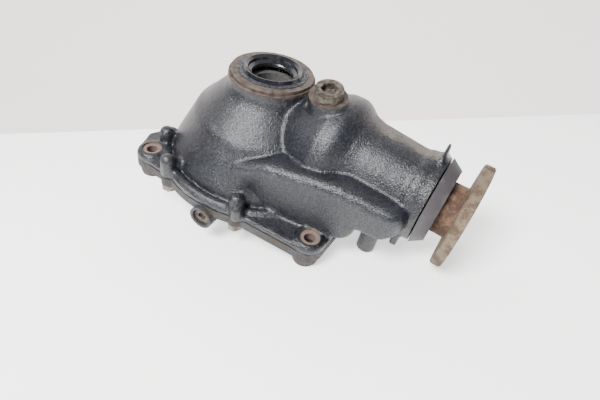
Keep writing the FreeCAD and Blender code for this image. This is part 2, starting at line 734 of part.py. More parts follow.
ring_groove = half_section(cover, "ring_groove_section", "Z", [
    ("0 - joint_drop + 1", "ring_groove_radius - ring_section - 0.3"),
    ("0 - joint_drop + 1", "ring_groove_radius + ring_section + 0.3"),
    ("0 - joint_drop - 2 * ring_section", "ring_groove_radius + ring_section + 0.3"),
    ("0 - joint_drop - 2 * ring_section", "ring_groove_radius - ring_section - 0.3")])
turn_round(cover, "Groove", ring_groove, "ring_groove", "Z")
round_holes(cover, "foot_holes", JOINT, lug_places(), "lug_hole_radius",
            "axis_height - joint_drop + 1", False)
round_holes(cover, "cover_clear_holes", JOINT, cover_bolt_places(),
            "cover_bolt_radius + bolt_clearance", "cover_boss_drop - joint_drop + 1", False)
round_holes(cover, "cover_dowel_holes", JOINT,
            bolt_places(DOWEL_ANGLES, "bolt_circle_radius"), "dowel_radius",
            "dowel_length / 2 + 0.5", False)
drain_recess = sketch_on(cover, "YZ_Plane", "drain_recess", turn=drain_at(DRAIN_SEAT))
draw_circle(drain_recess, "0", "0 - drain_drop", "drain_recess_radius")
extrude(cover, "Pocket", drain_recess, "drain_recess_cut", "drain_recess_depth + 1", True)
drain_bore = sketch_on(cover, "YZ_Plane", "drain_bore", turn=drain_at(DRAIN_SEAT))
draw_circle(drain_bore, "0", "0 - drain_drop", "drain_hole_radius")
extrude(cover, "Pocket", drain_bore, "drain_bore_cut", "34")

# The sealing ring lies in its groove in the cover, and two hollow dowels line up the joint.

o_ring = new_body("cover_o_ring")
o_ring_section = sketch_on(o_ring, "XZ_Plane", "o_ring_section")
draw_circle(o_ring_section, "ring_groove_radius", "0 - joint_drop - ring_section",
            "ring_section - running_clearance")
turn_round(o_ring, "Revolution", o_ring_section, "o_ring_turned", "Z")


def upright_group(label, places, profile, hexagon=None):
    """Equal turned pieces standing along Z, as one piece of separate solids. The profile
    gives (radius, low, high) for each step, and hexagon gives (flats, low, high)."""
    solids = []
    for across, up in places:
        centre = Vector(value(across), value(up), 0)
        steps_made = []
        for radius, low, high in profile:
            steps_made.append(Part.makeCylinder(
                value(radius), value(high) - value(low), centre + Vector(0, 0, value(low))))
        if hexagon:
            flats, low, high = hexagon
            corners = []
            for corner in range(7):
                angle = math.radians(60 * corner)
                reach = value(flats) / 2 / math.cos(math.radians(30))
                corners.append(centre + Vector(reach * math.cos(angle),
                                               reach * math.sin(angle), value(low)))
            head = Part.Face(Part.makePolygon(corners))
            steps_made.append(head.extrude(Vector(0, 0, value(high) - value(low))))
        solid = steps_made[0]
        if len(steps_made) > 1:
            solid = solid.fuse(steps_made[1:]).removeSplitter()
        solids.append(solid)
    return built(label, Part.makeCompound(solids))


upright_group("cover_bolts", cover_bolt_places(),
              [("cover_bolt_radius", "0 - cover_boss_drop - 1.5",
                "cover_bolt_depth - joint_drop"),
               ("boss_radius - 0.5", "0 - cover_boss_drop - 1.5", "0 - cover_boss_drop")],
              ("1.6 * 2 * cover_bolt_radius", "0 - cover_boss_drop - 7.5",
               "0 - cover_boss_drop - 1.5"))
upright_group("dowel_pins", bolt_places(DOWEL_ANGLES, "bolt_circle_radius"),
              [("dowel_radius - running_clearance / 2", "0 - joint_drop - dowel_length / 2",
                "0 - joint_drop + dowel_length / 2")])

# Plugs are cold headed steel with a hexagon socket, each on a soft metal washer.


def socket_plug(label, plane, steps_out, hexagon, centre, turn_for):
    """A plug of padded steps along a turned axis, with a hexagon socket in its head."""
    body = new_body(label)
    for number, (radius, low, high) in enumerate(steps_out):
        step = sketch_on(body, plane, "%s_step_%d" % (label, number), turn=turn_for(low))
        draw_circle(step, centre[0], centre[1], radius)
        extrude(body, "Pad", step, "%s_step_%d_pad" % (label, number),
                "(%s) - (%s)" % (high, low))
    if hexagon:
        flats, depth = hexagon
        face = sketch_on(body, plane, label + "_socket", turn=turn_for(steps_out[-1][2]))
        draw_hexagon(face, centre[0], centre[1], flats)
        extrude(body, "Pocket", face, label + "_socket_cut", depth)
    return body


socket_plug("filler_plug", "XY_Plane",
            [("filler_hole_radius - running_clearance", FILLER_SEAT + " - 10",
              FILLER_SEAT + " + washer_thickness"),
             ("plug_head_radius", FILLER_SEAT + " + washer_thickness",
              FILLER_SEAT + " + washer_thickness + plug_head_height")],
            ("plug_hex", "plug_hex_depth"), ("filler_x", "0"), filler_at)
socket_plug("drain_plug", "YZ_Plane",
            [("drain_hole_radius - running_clearance", DRAIN_SEAT + " - 12",
              DRAIN_SEAT + " + washer_thickness"),
             ("drain_recess_radius - 0.5", DRAIN_SEAT + " + washer_thickness",
              DRAIN_SEAT + " + washer_thickness + drain_head_height")],
            ("drain_hex", "drain_hex_depth"), ("0", "0 - drain_drop"), drain_at)
for label, plane, centre, turn_for, seat, inner, outer in (
        ("filler_washer", "XY_Plane", ("filler_x", "0"), filler_at, FILLER_SEAT,
         "filler_hole_radius", "plug_head_radius + 0.4"),
        ("drain_washer", "YZ_Plane", ("0", "0 - drain_drop"), drain_at, DRAIN_SEAT,
         "drain_hole_radius", "drain_recess_radius - 0.3")):
    washer = new_body(label)
    face = sketch_on(washer, plane, label + "_face", turn=turn_for(seat))
    draw_circle(face, centre[0], centre[1], outer)
    draw_circle(face, centre[0], centre[1], inner)
    extrude(washer, "Pad", face, label + "_pad", "washer_thickness")


# A radial shaft seal is a pressed steel case with a moulded lip, drawn in by a garter spring.


def shaft_seal(prefix, axis, front, way, outer, lip, width, rise):
    """front is the outer face of the case, and way is 1 or -1 along the axis to outside."""
    def along(distance):
        return "(%s) + (%s) * (%s)" % (front, way, distance)
    turned(prefix + "_case", axis, [
        (along("0 - (%s)" % width), "(%s) - 1.2" % outer), (along("0 - (%s)" % width), outer),
        (along("0"), outer), (along("0"), "(%s) + 10" % lip),
        (along("0 - 1.2"), "(%s) + 10" % lip), (along("0 - 1.2"), "(%s) - 1.2" % outer)])
    turned(prefix + "_lip", axis, [
        (along("0 - 1.2"), "(%s) + 12" % lip), (along("0 - 1.2"), "(%s) + 10" % lip),
        (along("0"), "(%s) + 10" % lip), (along(rise), "(%s) + 8.6" % lip),
        (along(rise), "(%s) + 7.6" % lip),
        (along("(%s) * 0.4" % rise), "(%s) + 4.6" % lip), (along("0 - 1"), "(%s) + 4" % lip),
        (along("0 - 3"), "(%s) + 0.8" % lip), (along("0 - 4.2"), lip),
        (along("1 - (%s)" % width), "(%s) + 1.2" % lip),
        (along("1 - (%s)" % width), "(%s) + 3" % lip),
        (along("0 - 4"), "(%s) + 4.6" % lip), (along("0 - 2.6"), "(%s) + 6.5" % lip),
        (along("0 - 2.6"), "(%s) + 12" % lip)])
    spring = new_body(prefix + "_spring")
    wire = sketch_on(spring, "XZ_Plane", prefix + "_spring_wire")
    centre_along = along("2.2 - (%s)" % width)
    centre_radius = "(%s) + 4.6" % lip
    if axis == "Z":
        draw_circle(wire, centre_radius, centre_along, "0.8")
    else:
        draw_circle(wire, centre_along, centre_radius, "0.8")
    turn_round(spring, "Revolution", wire, prefix + "_spring_coil", axis)


BELL_SEAL_FRONT = ("(bell_bearing_rise + carrier_bearing_width + carrier_shim"
                   " + web_thickness + seal_width)")
COVER_SEAL_FRONT = ("(0 - cover_bearing_drop - carrier_bearing_width - carrier_shim"
                    " - web_thickness - seal_width)")
shaft_seal("bell_seal", "Z", BELL_SEAL_FRONT, "1", "seal_bore_radius", "seal_lip_radius",
           "seal_width", "3.3")
shaft_seal("cover_seal", "Z", COVER_SEAL_FRONT, "0 - 1", "seal_bore_radius",
           "seal_lip_radius", "seal_width", "3.3")
shaft_seal("pinion_seal", "X", "neck_end_x - 2", "1", "pinion_seal_radius",
           "sleeve_radius + 0.1", "pinion_seal_width", "0")

# Taper roller bearings. The races and the rollers all point at one place on the axis.


def taper_bearing(prefix, axis, back, way, width, bore, outer, count):
    """back is the cone's wide face, and way is 1 or -1 along the axis to the narrow one."""
    slope = "(roller_slope * 1 deg)"
    middle = "((%s) + (%s)) / 2 + 0.4" % (bore, outer)
    thick = "((%s) - (%s)) * 0.26" % (outer, bore)
    spread = "atan((%s) * sin(%s) / (%s))" % (thick, slope, middle)
    centre = "(%s) * 0.5" % width
    apex = "(%s) + (%s) / tan(%s)" % (centre, middle, slope)
    half = "(%s) * 0.31" % width

    def along(distance):
        return "(%s) + (%s) * (%s)" % (back, way, distance)

    def race(distance, side):
        return "((%s) - (%s)) * tan(%s %s %s) %s roller_gap * 1.03" % (
            apex, distance, slope, side, spread, side)

    cup_start = "(%s) * 0.16" % width
    turned(prefix + "_cup", axis, [
        (along(cup_start), outer), (along(width), outer), (along(width), race(width, "+")),
        (along(cup_start), race(cup_start, "+"))])
    # the ribs keep a gap to the rollers' ends, which lean with the race
    rib_end = "(%s) - (%s) * cos(%s) - (%s) * 0.35" % (centre, half, slope, thick)
    far_end = "(%s) + (%s) * cos(%s) + 0.5" % (centre, half, slope)
    cone_end = "(%s) * 0.9" % width
    turned(prefix + "_cone", axis, [
        (along("0"), bore), (along(cone_end), bore),
        (along(cone_end), race(cone_end, "-") + " + 0.9"),
        (along(far_end), race(far_end, "-") + " + 0.9"), (along(far_end), race(far_end, "-")),
        (along(rib_end), race(rib_end, "-")),
        (along(rib_end), race(rib_end, "-") + " + (%s) * 0.7" % thick),
        (along("0"), race(rib_end, "-") + " + (%s) * 0.6" % thick)])
    lean = math.radians(value("roller_slope"))
    core = Vector(value(along(centre)), value(middle), 0)
    heading = value(way)
    line = Vector(heading * math.cos(lean), -math.sin(lean), 0)
    length = 2 * value(half)
    taper = math.tan(math.radians(value(spread)))
    big = value(thick) * math.cos(math.radians(value(spread))) + length / 2 * taper
    small = big - length * taper
    rollers, windows = [], []
    for slack, made in ((0, rollers), (0.25, windows)):
        start = core - line * (length / 2 + slack)
        model = Part.makeCone(big + slack, small + slack, length + 2 * slack, start, line)
        for number in range(count):
            copy = model.copy()
            copy.rotate(Vector(), Vector(1, 0, 0), 360 * number / count)
            made.append(copy)
    inner_start = core - line * (length / 2 + 1.8)
    inner_stop = core + line * (length / 2 + 1.8)
    strip = [(inner_start.x, inner_start.y - 0.2), (inner_stop.x, inner_stop.y - 0.2),
             (inner_stop.x, inner_stop.y + 0.9), (inner_start.x, inner_start.y + 0.9)]
    corners = [Vector(place, radius, 0) for place, radius in strip]
    cage = Part.Face(Part.makePolygon(corners + corners[:1])).revolve(
        Vector(), Vector(1, 0, 0), 360).cut(windows)
    for name, shape in (("_rollers", Part.makeCompound(rollers)), ("_cage", cage)):
        if axis == "Z":
            shape.rotate(Vector(), Vector(0, 1, 0), -90)
        built(prefix + name, shape)


taper_bearing("bell_bearing", "Z", "bell_bearing_rise", "1", "carrier_bearing_width",
              "carrier_journal_radius", "carrier_cup_radius", 16)
taper_bearing("cover_bearing", "Z", "0 - cover_bearing_drop", "0 - 1",
              "carrier_bearing_width", "carrier_journal_radius", "carrier_cup_radius", 16)
taper_bearing("head_bearing", "X", "head_bearing_x", "1", "head_bearing_width",
              "head_journal_radius", "head_cup_radius", 13)
taper_bearing("tail_bearing", "X", "tail_bearing_x + tail_bearing_width", "0 - 1",
              "tail_bearing_width", "tail_journal_radius", "tail_cup_radius", 14)
ring("bell_shim", "Z", "bell_bearing_rise + carrier_bearing_width",
     "bell_bearing_rise + carrier_bearing_width + carrier_shim", "web_radius",
     "carrier_cup_radius - 0.1")
ring("cover_shim", "Z", "0 - cover_bearing_drop - carrier_bearing_width - carrier_shim",
     "0 - cover_bearing_drop - carrier_bearing_width", "web_radius",
     "carrier_cup_radius - 0.1")

# The differential case is a nodular iron casting, turned all over, with two windows through
# which the gears go in. The crown wheel is bolted to its flange.

MIDDLE = "(0 - case_middle_drop)"
CAVITY = "(case_radius - case_wall)"
case = new_body("differential_case")
case_section = half_section(case, "case_section", "Z", [
    ("bell_bearing_rise + carrier_bearing_width - 0.5", "output_bore_radius"),
    ("bell_bearing_rise + carrier_bearing_width - 0.5", "carrier_journal_radius"),
    ("bell_bearing_rise", "carrier_journal_radius"),
    ("bell_bearing_rise", "carrier_journal_radius + 4.5"),
    (MIDDLE + " + 30", "carrier_journal_radius + 9"),
    (MIDDLE + " + 18", "case_radius"), (MIDDLE + " - 14", "case_radius"),
    (MIDDLE + " - 15", "crown_bore_radius"), ("0 - crown_back_drop", "crown_bore_radius"),
    ("0 - crown_back_drop", "case_flange_radius"),
    ("0 - crown_back_drop - case_flange_thickness", "case_flange_radius"),
    ("0 - crown_back_drop - case_flange_thickness", "carrier_journal_radius + 4.5"),
    ("0 - cover_bearing_drop", "carrier_journal_radius + 4.5"),
    ("0 - cover_bearing_drop", "carrier_journal_radius"),
    ("0.5 - cover_bearing_drop - carrier_bearing_width", "carrier_journal_radius"),
    ("0.5 - cover_bearing_drop - carrier_bearing_width", "output_bore_radius")])
turn_round(case, "Revolution", case_section, "case_turned", "Z")
cavity_half = "sqrt(%s^2 - side_seat^2)" % CAVITY
case_cavity = half_section(case, "case_cavity_section", "Z", [
    (MIDDLE + " + side_seat + side_seat_depth", "0"),
    (MIDDLE + " + side_seat + side_seat_depth", "side_hub_radius + running_clearance"),
    (MIDDLE + " + side_seat", "side_hub_radius + running_clearance"),
    (MIDDLE + " + side_seat", cavity_half, "0 - " + CAVITY),
    (MIDDLE + " - side_seat", cavity_half),
    (MIDDLE + " - side_seat", "side_hub_radius + running_clearance"),
    (MIDDLE + " - side_seat - side_seat_depth", "side_hub_radius + running_clearance"),
    (MIDDLE + " - side_seat - side_seat_depth", "0")])
turn_round(case, "Groove", case_cavity, "case_cavity", "Z")
windows = sketch_on(case, "XZ_Plane", "case_windows")
low, high = MIDDLE + " - window_low", MIDDLE + " + window_high"
inset = "window_half_width - window_corner"
draw_outline(windows, [
    ("0 - (%s)" % inset, low), (inset, low), ("window_half_width", low + " + window_corner"),
    ("window_half_width", high + " - window_corner"), (inset, high), ("0 - (%s)" % inset, high),
    ("0 - window_half_width", high + " - window_corner"),
    ("0 - window_half_width", low + " + window_corner")])
extrude(case, "Pocket", windows, "case_windows_cut", "2 * case_radius + 10", both=True)
pin_bore = sketch_on(case, "YZ_Plane", "pin_bore")
draw_circle(pin_bore, "0", MIDDLE, "cross_pin_radius")
extrude(case, "Pocket", pin_bore, "pin_bore_cut", "2 * case_radius + 10", both=True)
lock_bore = sketch_on(case, "XY_Plane", "lock_bore", MIDDLE)
draw_circle(lock_bore, "case_radius - lock_inset", "0", "lock_radius")
extrude(case, "Pocket", lock_bore, "lock_bore_cut", "23", both=True)
crown_bolt_count = int(value("crown_bolt_count"))
crown_bolt_places = bolt_places(
    [360 * number / crown_bolt_count for number in range(crown_bolt_count)],
    "crown_bolt_circle")
round_holes(case, "crown_bolt_holes", "0 - crown_back_drop",
            crown_bolt_places, "crown_bolt_radius + 0.3", "case_flange_thickness + 1", False)

cross_pin = new_body("cross_pin")
pin_round = sketch_on(cross_pin, "YZ_Plane", "pin_round")
draw_circle(pin_round, "0", MIDDLE, "cross_pin_radius - pin_play")
extrude(cross_pin, "Pad", pin_round, "pin_bar", "2 * case_radius - 1", both=True)
pin_cross_bore = sketch_on(cross_pin, "XY_Plane", "pin_cross_bore", MIDDLE)
draw_circle(pin_cross_bore, "case_radius - lock_inset", "0", "lock_radius")
extrude(cross_pin, "Pocket", pin_cross_bore, "pin_cross_bore_cut", "20", both=True)
lock = new_body("cross_pin_lock")
lock_round = sketch_on(lock, "XY_Plane", "lock_round", MIDDLE)
draw_circle(lock_round, "case_radius - lock_inset", "0", "lock_radius - pin_play")
extrude(lock, "Pad", lock_round, "lock_bar", "22", both=True)
upright_group("crown_wheel_bolts", crown_bolt_places,
              [("crown_bolt_radius", "0 - crown_back_drop - case_flange_thickness",
                "0 - crown_back_drop + 11")],
              ("3 * crown_bolt_radius", "0 - crown_back_drop - case_flange_thickness - 5.5",
               "0 - crown_back_drop - case_flange_thickness"))


# Bevel gears. A tooth form is worked out once on the back cone. Its sizes grow with the
# distance from the crossing of the axes, so every point of a flank lies on a ray from there,
# turned by the spiral as the ray goes out.


class BevelTooth:
    """The tooth form of one gear of a pair with crossing axes. Addendum, dedendum and the
    profile shift are shares of the module at the outer end."""

    def __init__(self, teeth, mate, pitch_radius, form, pressure, slack, spiral, face, hand=1):
        addendum, dedendum, shift = form
        self.teeth = teeth
        self.hand = hand
        self.cone = math.atan2(teeth, mate)
        self.outer = pitch_radius / math.sin(self.cone)
        self.inner = self.outer - face
        module = 2 * pitch_radius / teeth
        self.addendum = addendum * module
        self.dedendum = dedendum * module
        self.pressure = math.radians(pressure)
        self.back_radius = self.outer * math.tan(self.cone)
        thickness = module * (math.pi / 2 + 2 * shift * math.tan(self.pressure)) - slack / 2
        self.half_thick = thickness / 2 / self.back_radius
        self.spiral = math.tan(math.radians(spiral)) / math.sin(self.cone)

    def gap_half_angle(self, height):
        """Half the gap between two teeth, as an angle about the gear's axis."""
        base = self.back_radius * math.cos(self.pressure)
        here = math.acos(min(1.0, base / (self.back_radius + height)))
        involute = math.tan(self.pressure) - self.pressure - math.tan(here) + here
        return math.pi / self.teeth - (self.half_thick + involute) / math.cos(self.cone)

    def twist(self, reach):
        return self.spiral * math.log(reach / (self.outer + self.inner) * 2)

    def section_place(self, reach, height):
        """Place along the axis and radius of a point over the pitch cone."""
        scaled = height * reach / self.outer
        return (reach * math.cos(self.cone) - scaled * math.sin(self.cone),
                reach * math.sin(self.cone) + scaled * math.cos(self.cone))

    def flank_point(self, reach, height, angle):
        """A point of a flank, with the gear's axis along X."""
        polar_angle = self.cone + math.atan(height / self.outer)
        turn = angle + self.twist(reach)
        return Vector(math.cos(polar_angle), self.hand * math.sin(polar_angle) * math.sin(turn),
                      -math.sin(polar_angle) * math.cos(turn)) * reach

    def on_plane(self, height, angle, normal, distance):
        """Where a flank line crosses the plane at a distance along its normal."""
        reach = distance
        for _ in range(12):
            reach *= distance / self.flank_point(reach, height, angle).dot(normal)
        return self.flank_point(reach, height, angle)

    def gap_cutter(self, middle, heights, stations, across_axis):
        """One gap between teeth as a solid, lofted through flat sections. The sections stand
        across the axis on a slender gear, and across the pitch cone on a flat one."""
        wires = []
        for reach in stations:
            normal, distance = Vector(1, 0, 0), reach * math.cos(self.cone)
            if not across_axis:
                normal = self.flank_point(1, 0, middle + self.twist(reach) - self.twist(1))
                distance = reach
            sides = []
            for side in (-1, 1):
                sides.append([
                    self.on_plane(height, middle + side * self.gap_half_angle(height),
                                  normal, distance) for height in heights])
            corners = sides[0] + sides[1][::-1]
            wires.append(Part.makePolygon(corners + corners[:1]))
        return Part.makeLoft(wires, True, True)

    def cut_gaps(self, blank, heights, stations, across_axis, phase=0):
        """Cuts every gap into the blank."""
        pitch = 2 * math.pi / self.teeth
        cutters = []
        for number in range(self.teeth):
            cutters.append(self.gap_cutter((number + phase) * pitch, heights, stations,
                                           across_axis))
        return blank.cut(cutters)


def even_steps(start, stop, count):
    return [start + (stop - start) * number / count for number in range(count + 1)]


def turned_blank(points):
    """A solid turned about X from (along, radius)."""
    corners = [Vector(place, 0, radius) for place, radius in points]
    face = Part.Face(Part.makePolygon(corners + corners[:1]))
    return face.revolve(Vector(), Vector(1, 0, 0), 360)


crown_pitch = value("crown_pitch_radius")
crown_teeth = int(value("crown_teeth"))
pinion_teeth = int(value("pinion_teeth"))
pinion_pitch = crown_pitch * pinion_teeth / crown_teeth
pair_values = (value("pressure_angle"), value("backlash"), value("spiral_angle"),
               value("face_width"))
crown_tooth = BevelTooth(crown_teeth, pinion_teeth, crown_pitch, (0.49, 1.4, -0.36),
                         *pair_values, hand=-1)
pinion_tooth = BevelTooth(pinion_teeth, crown_teeth, pinion_pitch, (1.21, 0.68, 0.36),
                          *pair_values)

back = value("crown_back_drop")
bore = value("crown_bore_radius")
heel_radius = crown_tooth.section_place(crown_tooth.outer, -8)[1]
toe_low = crown_tooth.section_place(crown_tooth.inner, -8)
crown_blank = turned_blank([
    crown_tooth.section_place(crown_tooth.outer, crown_tooth.addendum),
    crown_tooth.section_place(crown_tooth.outer, -8),
    (back - 3, heel_radius), (back, heel_radius - 3), (back, bore),
    (toe_low[0] + 1.5, bore), toe_low,
    crown_tooth.section_place(crown_tooth.inner, crown_tooth.addendum)])
crown_wheel = crown_tooth.cut_gaps(
    crown_blank, [-crown_tooth.dedendum, crown_tooth.addendum * 1.6],
    even_steps(crown_tooth.inner - 2, crown_tooth.outer + 2, 4), False, crown_teeth / 2)
crown_circle = value("crown_bolt_circle")
tapped = []
for number in range(crown_bolt_count):
    angle = 2 * math.pi * number / crown_bolt_count
    centre = Vector(back - 12, crown_circle * math.sin(angle), crown_circle * math.cos(angle))
    tapped.append(Part.makeCylinder(value("crown_bolt_radius"), 12, centre, Vector(1, 0, 0)))
crown_wheel = crown_wheel.cut(tapped)
crown_wheel.rotate(Vector(), Vector(0, 1, 0), 90)
built("crown_wheel", crown_wheel)

pinion_blank = turned_blank([
    (pinion_tooth.section_place(pinion_tooth.inner, 0)[0] - 2, 0),
    (pinion_tooth.section_place(pinion_tooth.inner, 0)[0] - 2, 11),
    pinion_tooth.section_place(pinion_tooth.inner, -3),
    pinion_tooth.section_place(pinion_tooth.inner, pinion_tooth.addendum),
    pinion_tooth.section_place(pinion_tooth.outer, pinion_tooth.addendum),
    pinion_tooth.section_place(pinion_tooth.outer, -pinion_tooth.dedendum - 1),
    (value("head_bearing_x - pinion_shim - 2.4"), value("head_journal_radius + 0.7")),
    (value("head_bearing_x - pinion_shim - 2.4"), value("head_journal_radius + 3")),
    (value("head_bearing_x - pinion_shim"), value("head_journal_radius + 3")),
    (value("head_bearing_x - pinion_shim"), value("head_journal_radius")),
    (value("head_bearing_x + head_bearing_width"), value("head_journal_radius")),
    (value("head_bearing_x + head_bearing_width"), value("tail_journal_radius")),
    (value("tail_bearing_x + tail_bearing_width"), value("tail_journal_radius")),
    (value("tail_bearing_x + tail_bearing_width"), value("pinion_spline_radius")),
    (value("flange_back_x - 4"), value("pinion_spline_radius")),
    (value("flange_back_x - 4"), value("pinion_thread_radius")),
    (value("flange_back_x - 4 + nut_height"), value("pinion_thread_radius")),
    (value("flange_back_x - 3 + nut_height"), value("pinion_thread_radius - 1.5")),
    (value("flange_back_x - 3 + nut_height"), 0)])
pinion_heights = [-pinion_tooth.dedendum, 0, pinion_tooth.addendum * 0.55,
                  pinion_tooth.addendum * 1.3]
pinion_shaft = pinion_tooth.cut_gaps(
    pinion_blank, pinion_heights,
    even_steps(pinion_tooth.inner - 3.5, pinion_tooth.outer + 1.3, 5), True, 0.5)
built("pinion_shaft", pinion_shaft)

# Straight bevel gears in the case: two side gears splined to the output shafts, and two
# planets that turn on the cross pin.

side_teeth = int(value("side_teeth"))
planet_teeth = int(value("planet_teeth"))
planet_pitch = value("planet_pitch_radius")
side_pitch = planet_pitch * side_teeth / planet_teeth
small_values = (22.5, 0.3, 0, value("planet_face"))
side_tooth = BevelTooth(side_teeth, planet_teeth, side_pitch, (0.65, 1.14, -0.15),
                        *small_values)
planet_tooth = BevelTooth(planet_teeth, side_teeth, planet_pitch, (0.95, 0.84, 0.15),
                          *small_values)
middle = Vector(0, 0, value(MIDDLE))
side_back = value("side_seat - thrust_washer - running_clearance")
side_hub = value("side_hub_radius")
spline = value("spline_radius")
side_blank = turned_blank([
    side_tooth.section_place(side_tooth.outer, side_tooth.addendum),
    side_tooth.section_place(side_tooth.outer, -6),
    (side_back, side_hub + 2), (side_back, side_hub),
    (value("side_seat + side_seat_depth - 0.5"), side_hub),
    (value("side_seat + side_seat_depth - 0.5"), spline),
    (side_tooth.section_place(side_tooth.inner, -5)[0], spline),
    side_tooth.section_place(side_tooth.inner, -3),
    side_tooth.section_place(side_tooth.inner, side_tooth.addendum)])
side_gear = side_tooth.cut_gaps(
    side_blank, [-side_tooth.dedendum, 0, side_tooth.addendum * 1.6],
    [side_tooth.inner - 2, side_tooth.outer + 2], False)
spline_count = 24
grooves = []
for number in range(spline_count):
    groove = Part.makeBox(2 * side_hub + 10, 1.9, 1.6, Vector(0, -0.95, spline - 0.1))
    groove.rotate(Vector(), Vector(1, 0, 0), 360 * number / spline_count)
    grooves.append(groove)
side_gear = side_gear.cut(grooves)
for label, turn in (("bell_side_gear", -90), ("cover_side_gear", 90)):
    gear = side_gear.copy()
    gear.rotate(Vector(), Vector(0, 1, 0), turn)
    gear.translate(middle)
    built(label, gear)

planet_back = value(CAVITY + " - thrust_washer - 2 * running_clearance")
planet_blank = turned_blank([
    planet_tooth.section_place(planet_tooth.outer, planet_tooth.addendum),
    planet_tooth.section_place(planet_tooth.outer, -2), (planet_back + 1, 14),
    (planet_back + 1, value("cross_pin_radius + running_clearance")),
    (planet_tooth.section_place(planet_tooth.inner, 0)[0] - 1,
     value("cross_pin_radius + running_clearance")),
    planet_tooth.section_place(planet_tooth.inner, planet_tooth.addendum)])
planet_blank = planet_blank.common(Part.makeSphere(planet_back))
planet_gear = planet_tooth.cut_gaps(
    planet_blank, [-planet_tooth.dedendum, 0, planet_tooth.addendum * 0.6,
                   planet_tooth.addendum * 1.4],
    [planet_tooth.inner - 2, planet_tooth.outer + 2], True, 0.5)
cup = Part.makeSphere(value(CAVITY + " - running_clearance")).cut(
    Part.makeSphere(value(CAVITY + " - thrust_washer - running_clearance")))
cup = cup.common(Part.makeCylinder(13.5, value("case_radius"), Vector(), Vector(1, 0, 0)))
cup = cup.cut(Part.makeCylinder(value("cross_pin_radius + 0.3"), value("case_radius"),
                                Vector(), Vector(1, 0, 0)))
cups = []
for label, turn in (("front_planet_gear", 0), ("rear_planet_gear", 180)):
    gear = planet_gear.copy()
    shell = cup.copy()
    for item in (gear, shell):
        item.rotate(Vector(), Vector(0, 0, 1), turn)
        item.translate(middle)
    built(label, gear)
    cups.append(shell)
built("planet_washers", Part.makeCompound(cups))
side_washers = []
for way in (-1, 1):
    low = value("side_seat - thrust_washer")
    washer = Part.makeCylinder(value("side_hub_radius + 3"), value("thrust_washer"),
                               Vector(0, 0, low))
    washer = washer.cut(Part.makeCylinder(value("side_hub_radius + 0.2"),
                                          value("thrust_washer"), Vector(0, 0, low)))
    if way < 0:
        washer.rotate(Vector(), Vector(1, 0, 0), 180)
    washer.translate(middle)
    side_washers.append(washer)
built("side_gear_washers", Part.makeCompound(side_washers))

# The rest of the pinion line: shim, crush sleeve, nut, forged flange and pressed dust shield.

ring("pinion_shim_ring", "X", "head_bearing_x - pinion_shim", "head_bearing_x",
     "head_journal_radius", "head_journal_radius + 5")
SLEEVE_START = "(head_bearing_x + head_bearing_width * 0.9)"
SLEEVE_STOP = "(tail_bearing_x + tail_bearing_width * 0.1)"
turned("crush_sleeve", "X", [
    (SLEEVE_START, "head_journal_radius + 0.2"),
    (SLEEVE_START + " + 5", "head_journal_radius + 0.2"),
    (SLEEVE_START + " + 9", "tail_journal_radius + 0.3"),
    (SLEEVE_STOP, "tail_journal_radius + 0.3"), (SLEEVE_STOP, "tail_journal_radius + 2.3"),
    (SLEEVE_STOP + " - 8", "tail_journal_radius + 2.3"),
    (SLEEVE_STOP + " - 13", "tail_journal_radius + 5"),
    (SLEEVE_STOP + " - 18", "tail_journal_radius + 2.6"),
    (SLEEVE_START + " + 9", "tail_journal_radius + 2.8"),
    (SLEEVE_START, "head_journal_radius + 2.2")])

flange = new_body("input_flange")
flange_section = half_section(flange, "input_flange_section", "X", [
    ("tail_bearing_x + tail_bearing_width", "pinion_spline_radius + 0.02"),
    ("tail_bearing_x + tail_bearing_width", "sleeve_radius"),
    ("shield_start_x + 0.6", "sleeve_radius"),
    ("shield_start_x + 0.6", "flange_hub_radius"),
    ("flange_back_x - 2", "flange_hub_radius"), ("flange_back_x", "flange_hub_radius + 2"),
    ("flange_back_x", "flange_disc_radius - 1"),
    ("flange_back_x + 1", "flange_disc_radius"),
    ("flange_back_x + flange_disc_thickness - 1", "flange_disc_radius"),
    ("flange_back_x + flange_disc_thickness", "flange_disc_radius - 1"),
    ("flange_back_x + flange_disc_thickness", "nut_recess_radius + 2"),
    ("flange_back_x + flange_disc_thickness - 2", "nut_recess_radius"),
    ("flange_back_x - 4", "nut_recess_radius"),
    ("flange_back_x - 4", "pinion_spline_radius + 0.02")])
turn_round(flange, "Revolution", flange_section, "input_flange_turned", "X")
flange_hole = sketch_on(flange, "YZ_Plane", "flange_hole", "flange_back_x")
for number in range(4):
    across, up = polar("flange_bolt_circle", str(45 + 90 * number))
    draw_circle(flange_hole, across, up, "flange_hole_radius")
extrude(flange, "Pocket", flange_hole, "flange_hole_cut", "flange_disc_thickness + 1", True)

turned("dust_shield", "X", [
    ("shield_start_x", "shield_big_radius - shield_wall"),
    ("shield_start_x", "shield_big_radius"),
    ("shield_start_x + shield_length", "shield_small_radius"),
    ("shield_start_x + shield_length", "flange_hub_radius + 0.02"),
    ("shield_start_x + shield_length - shield_wall", "flange_hub_radius + 0.02"),
    ("shield_start_x + shield_length - shield_wall", "shield_small_radius - 1.8")])

nut = new_body("pinion_nut")
nut_face = sketch_on(nut, "YZ_Plane", "nut_face", "flange_back_x - 4")
draw_hexagon(nut_face, "0", "0", "nut_hex")
draw_circle(nut_face, "0", "0", "pinion_thread_radius + 0.02")
extrude(nut, "Pad", nut_face, "nut_pad", "nut_height")

for body in doc.findObjects("PartDesign::Body"):
    body.Tip.Refine = True
doc.recompute()

for item in doc.Objects:
    if "Invalid" in item.State or "Error" in item.State:
        raise RuntimeError("%s did not rebuild: %s" % (item.Name, item.State))
for piece in pieces:
    if piece.Shape.isNull() or not piece.Shape.isValid():
        raise RuntimeError("%s has no valid shape" % piece.Label)

os.makedirs("parts", exist_ok=True)
for piece in pieces:
    piece.Shape.exportStep("parts/%s.step" % piece.Label)
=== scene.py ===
import math

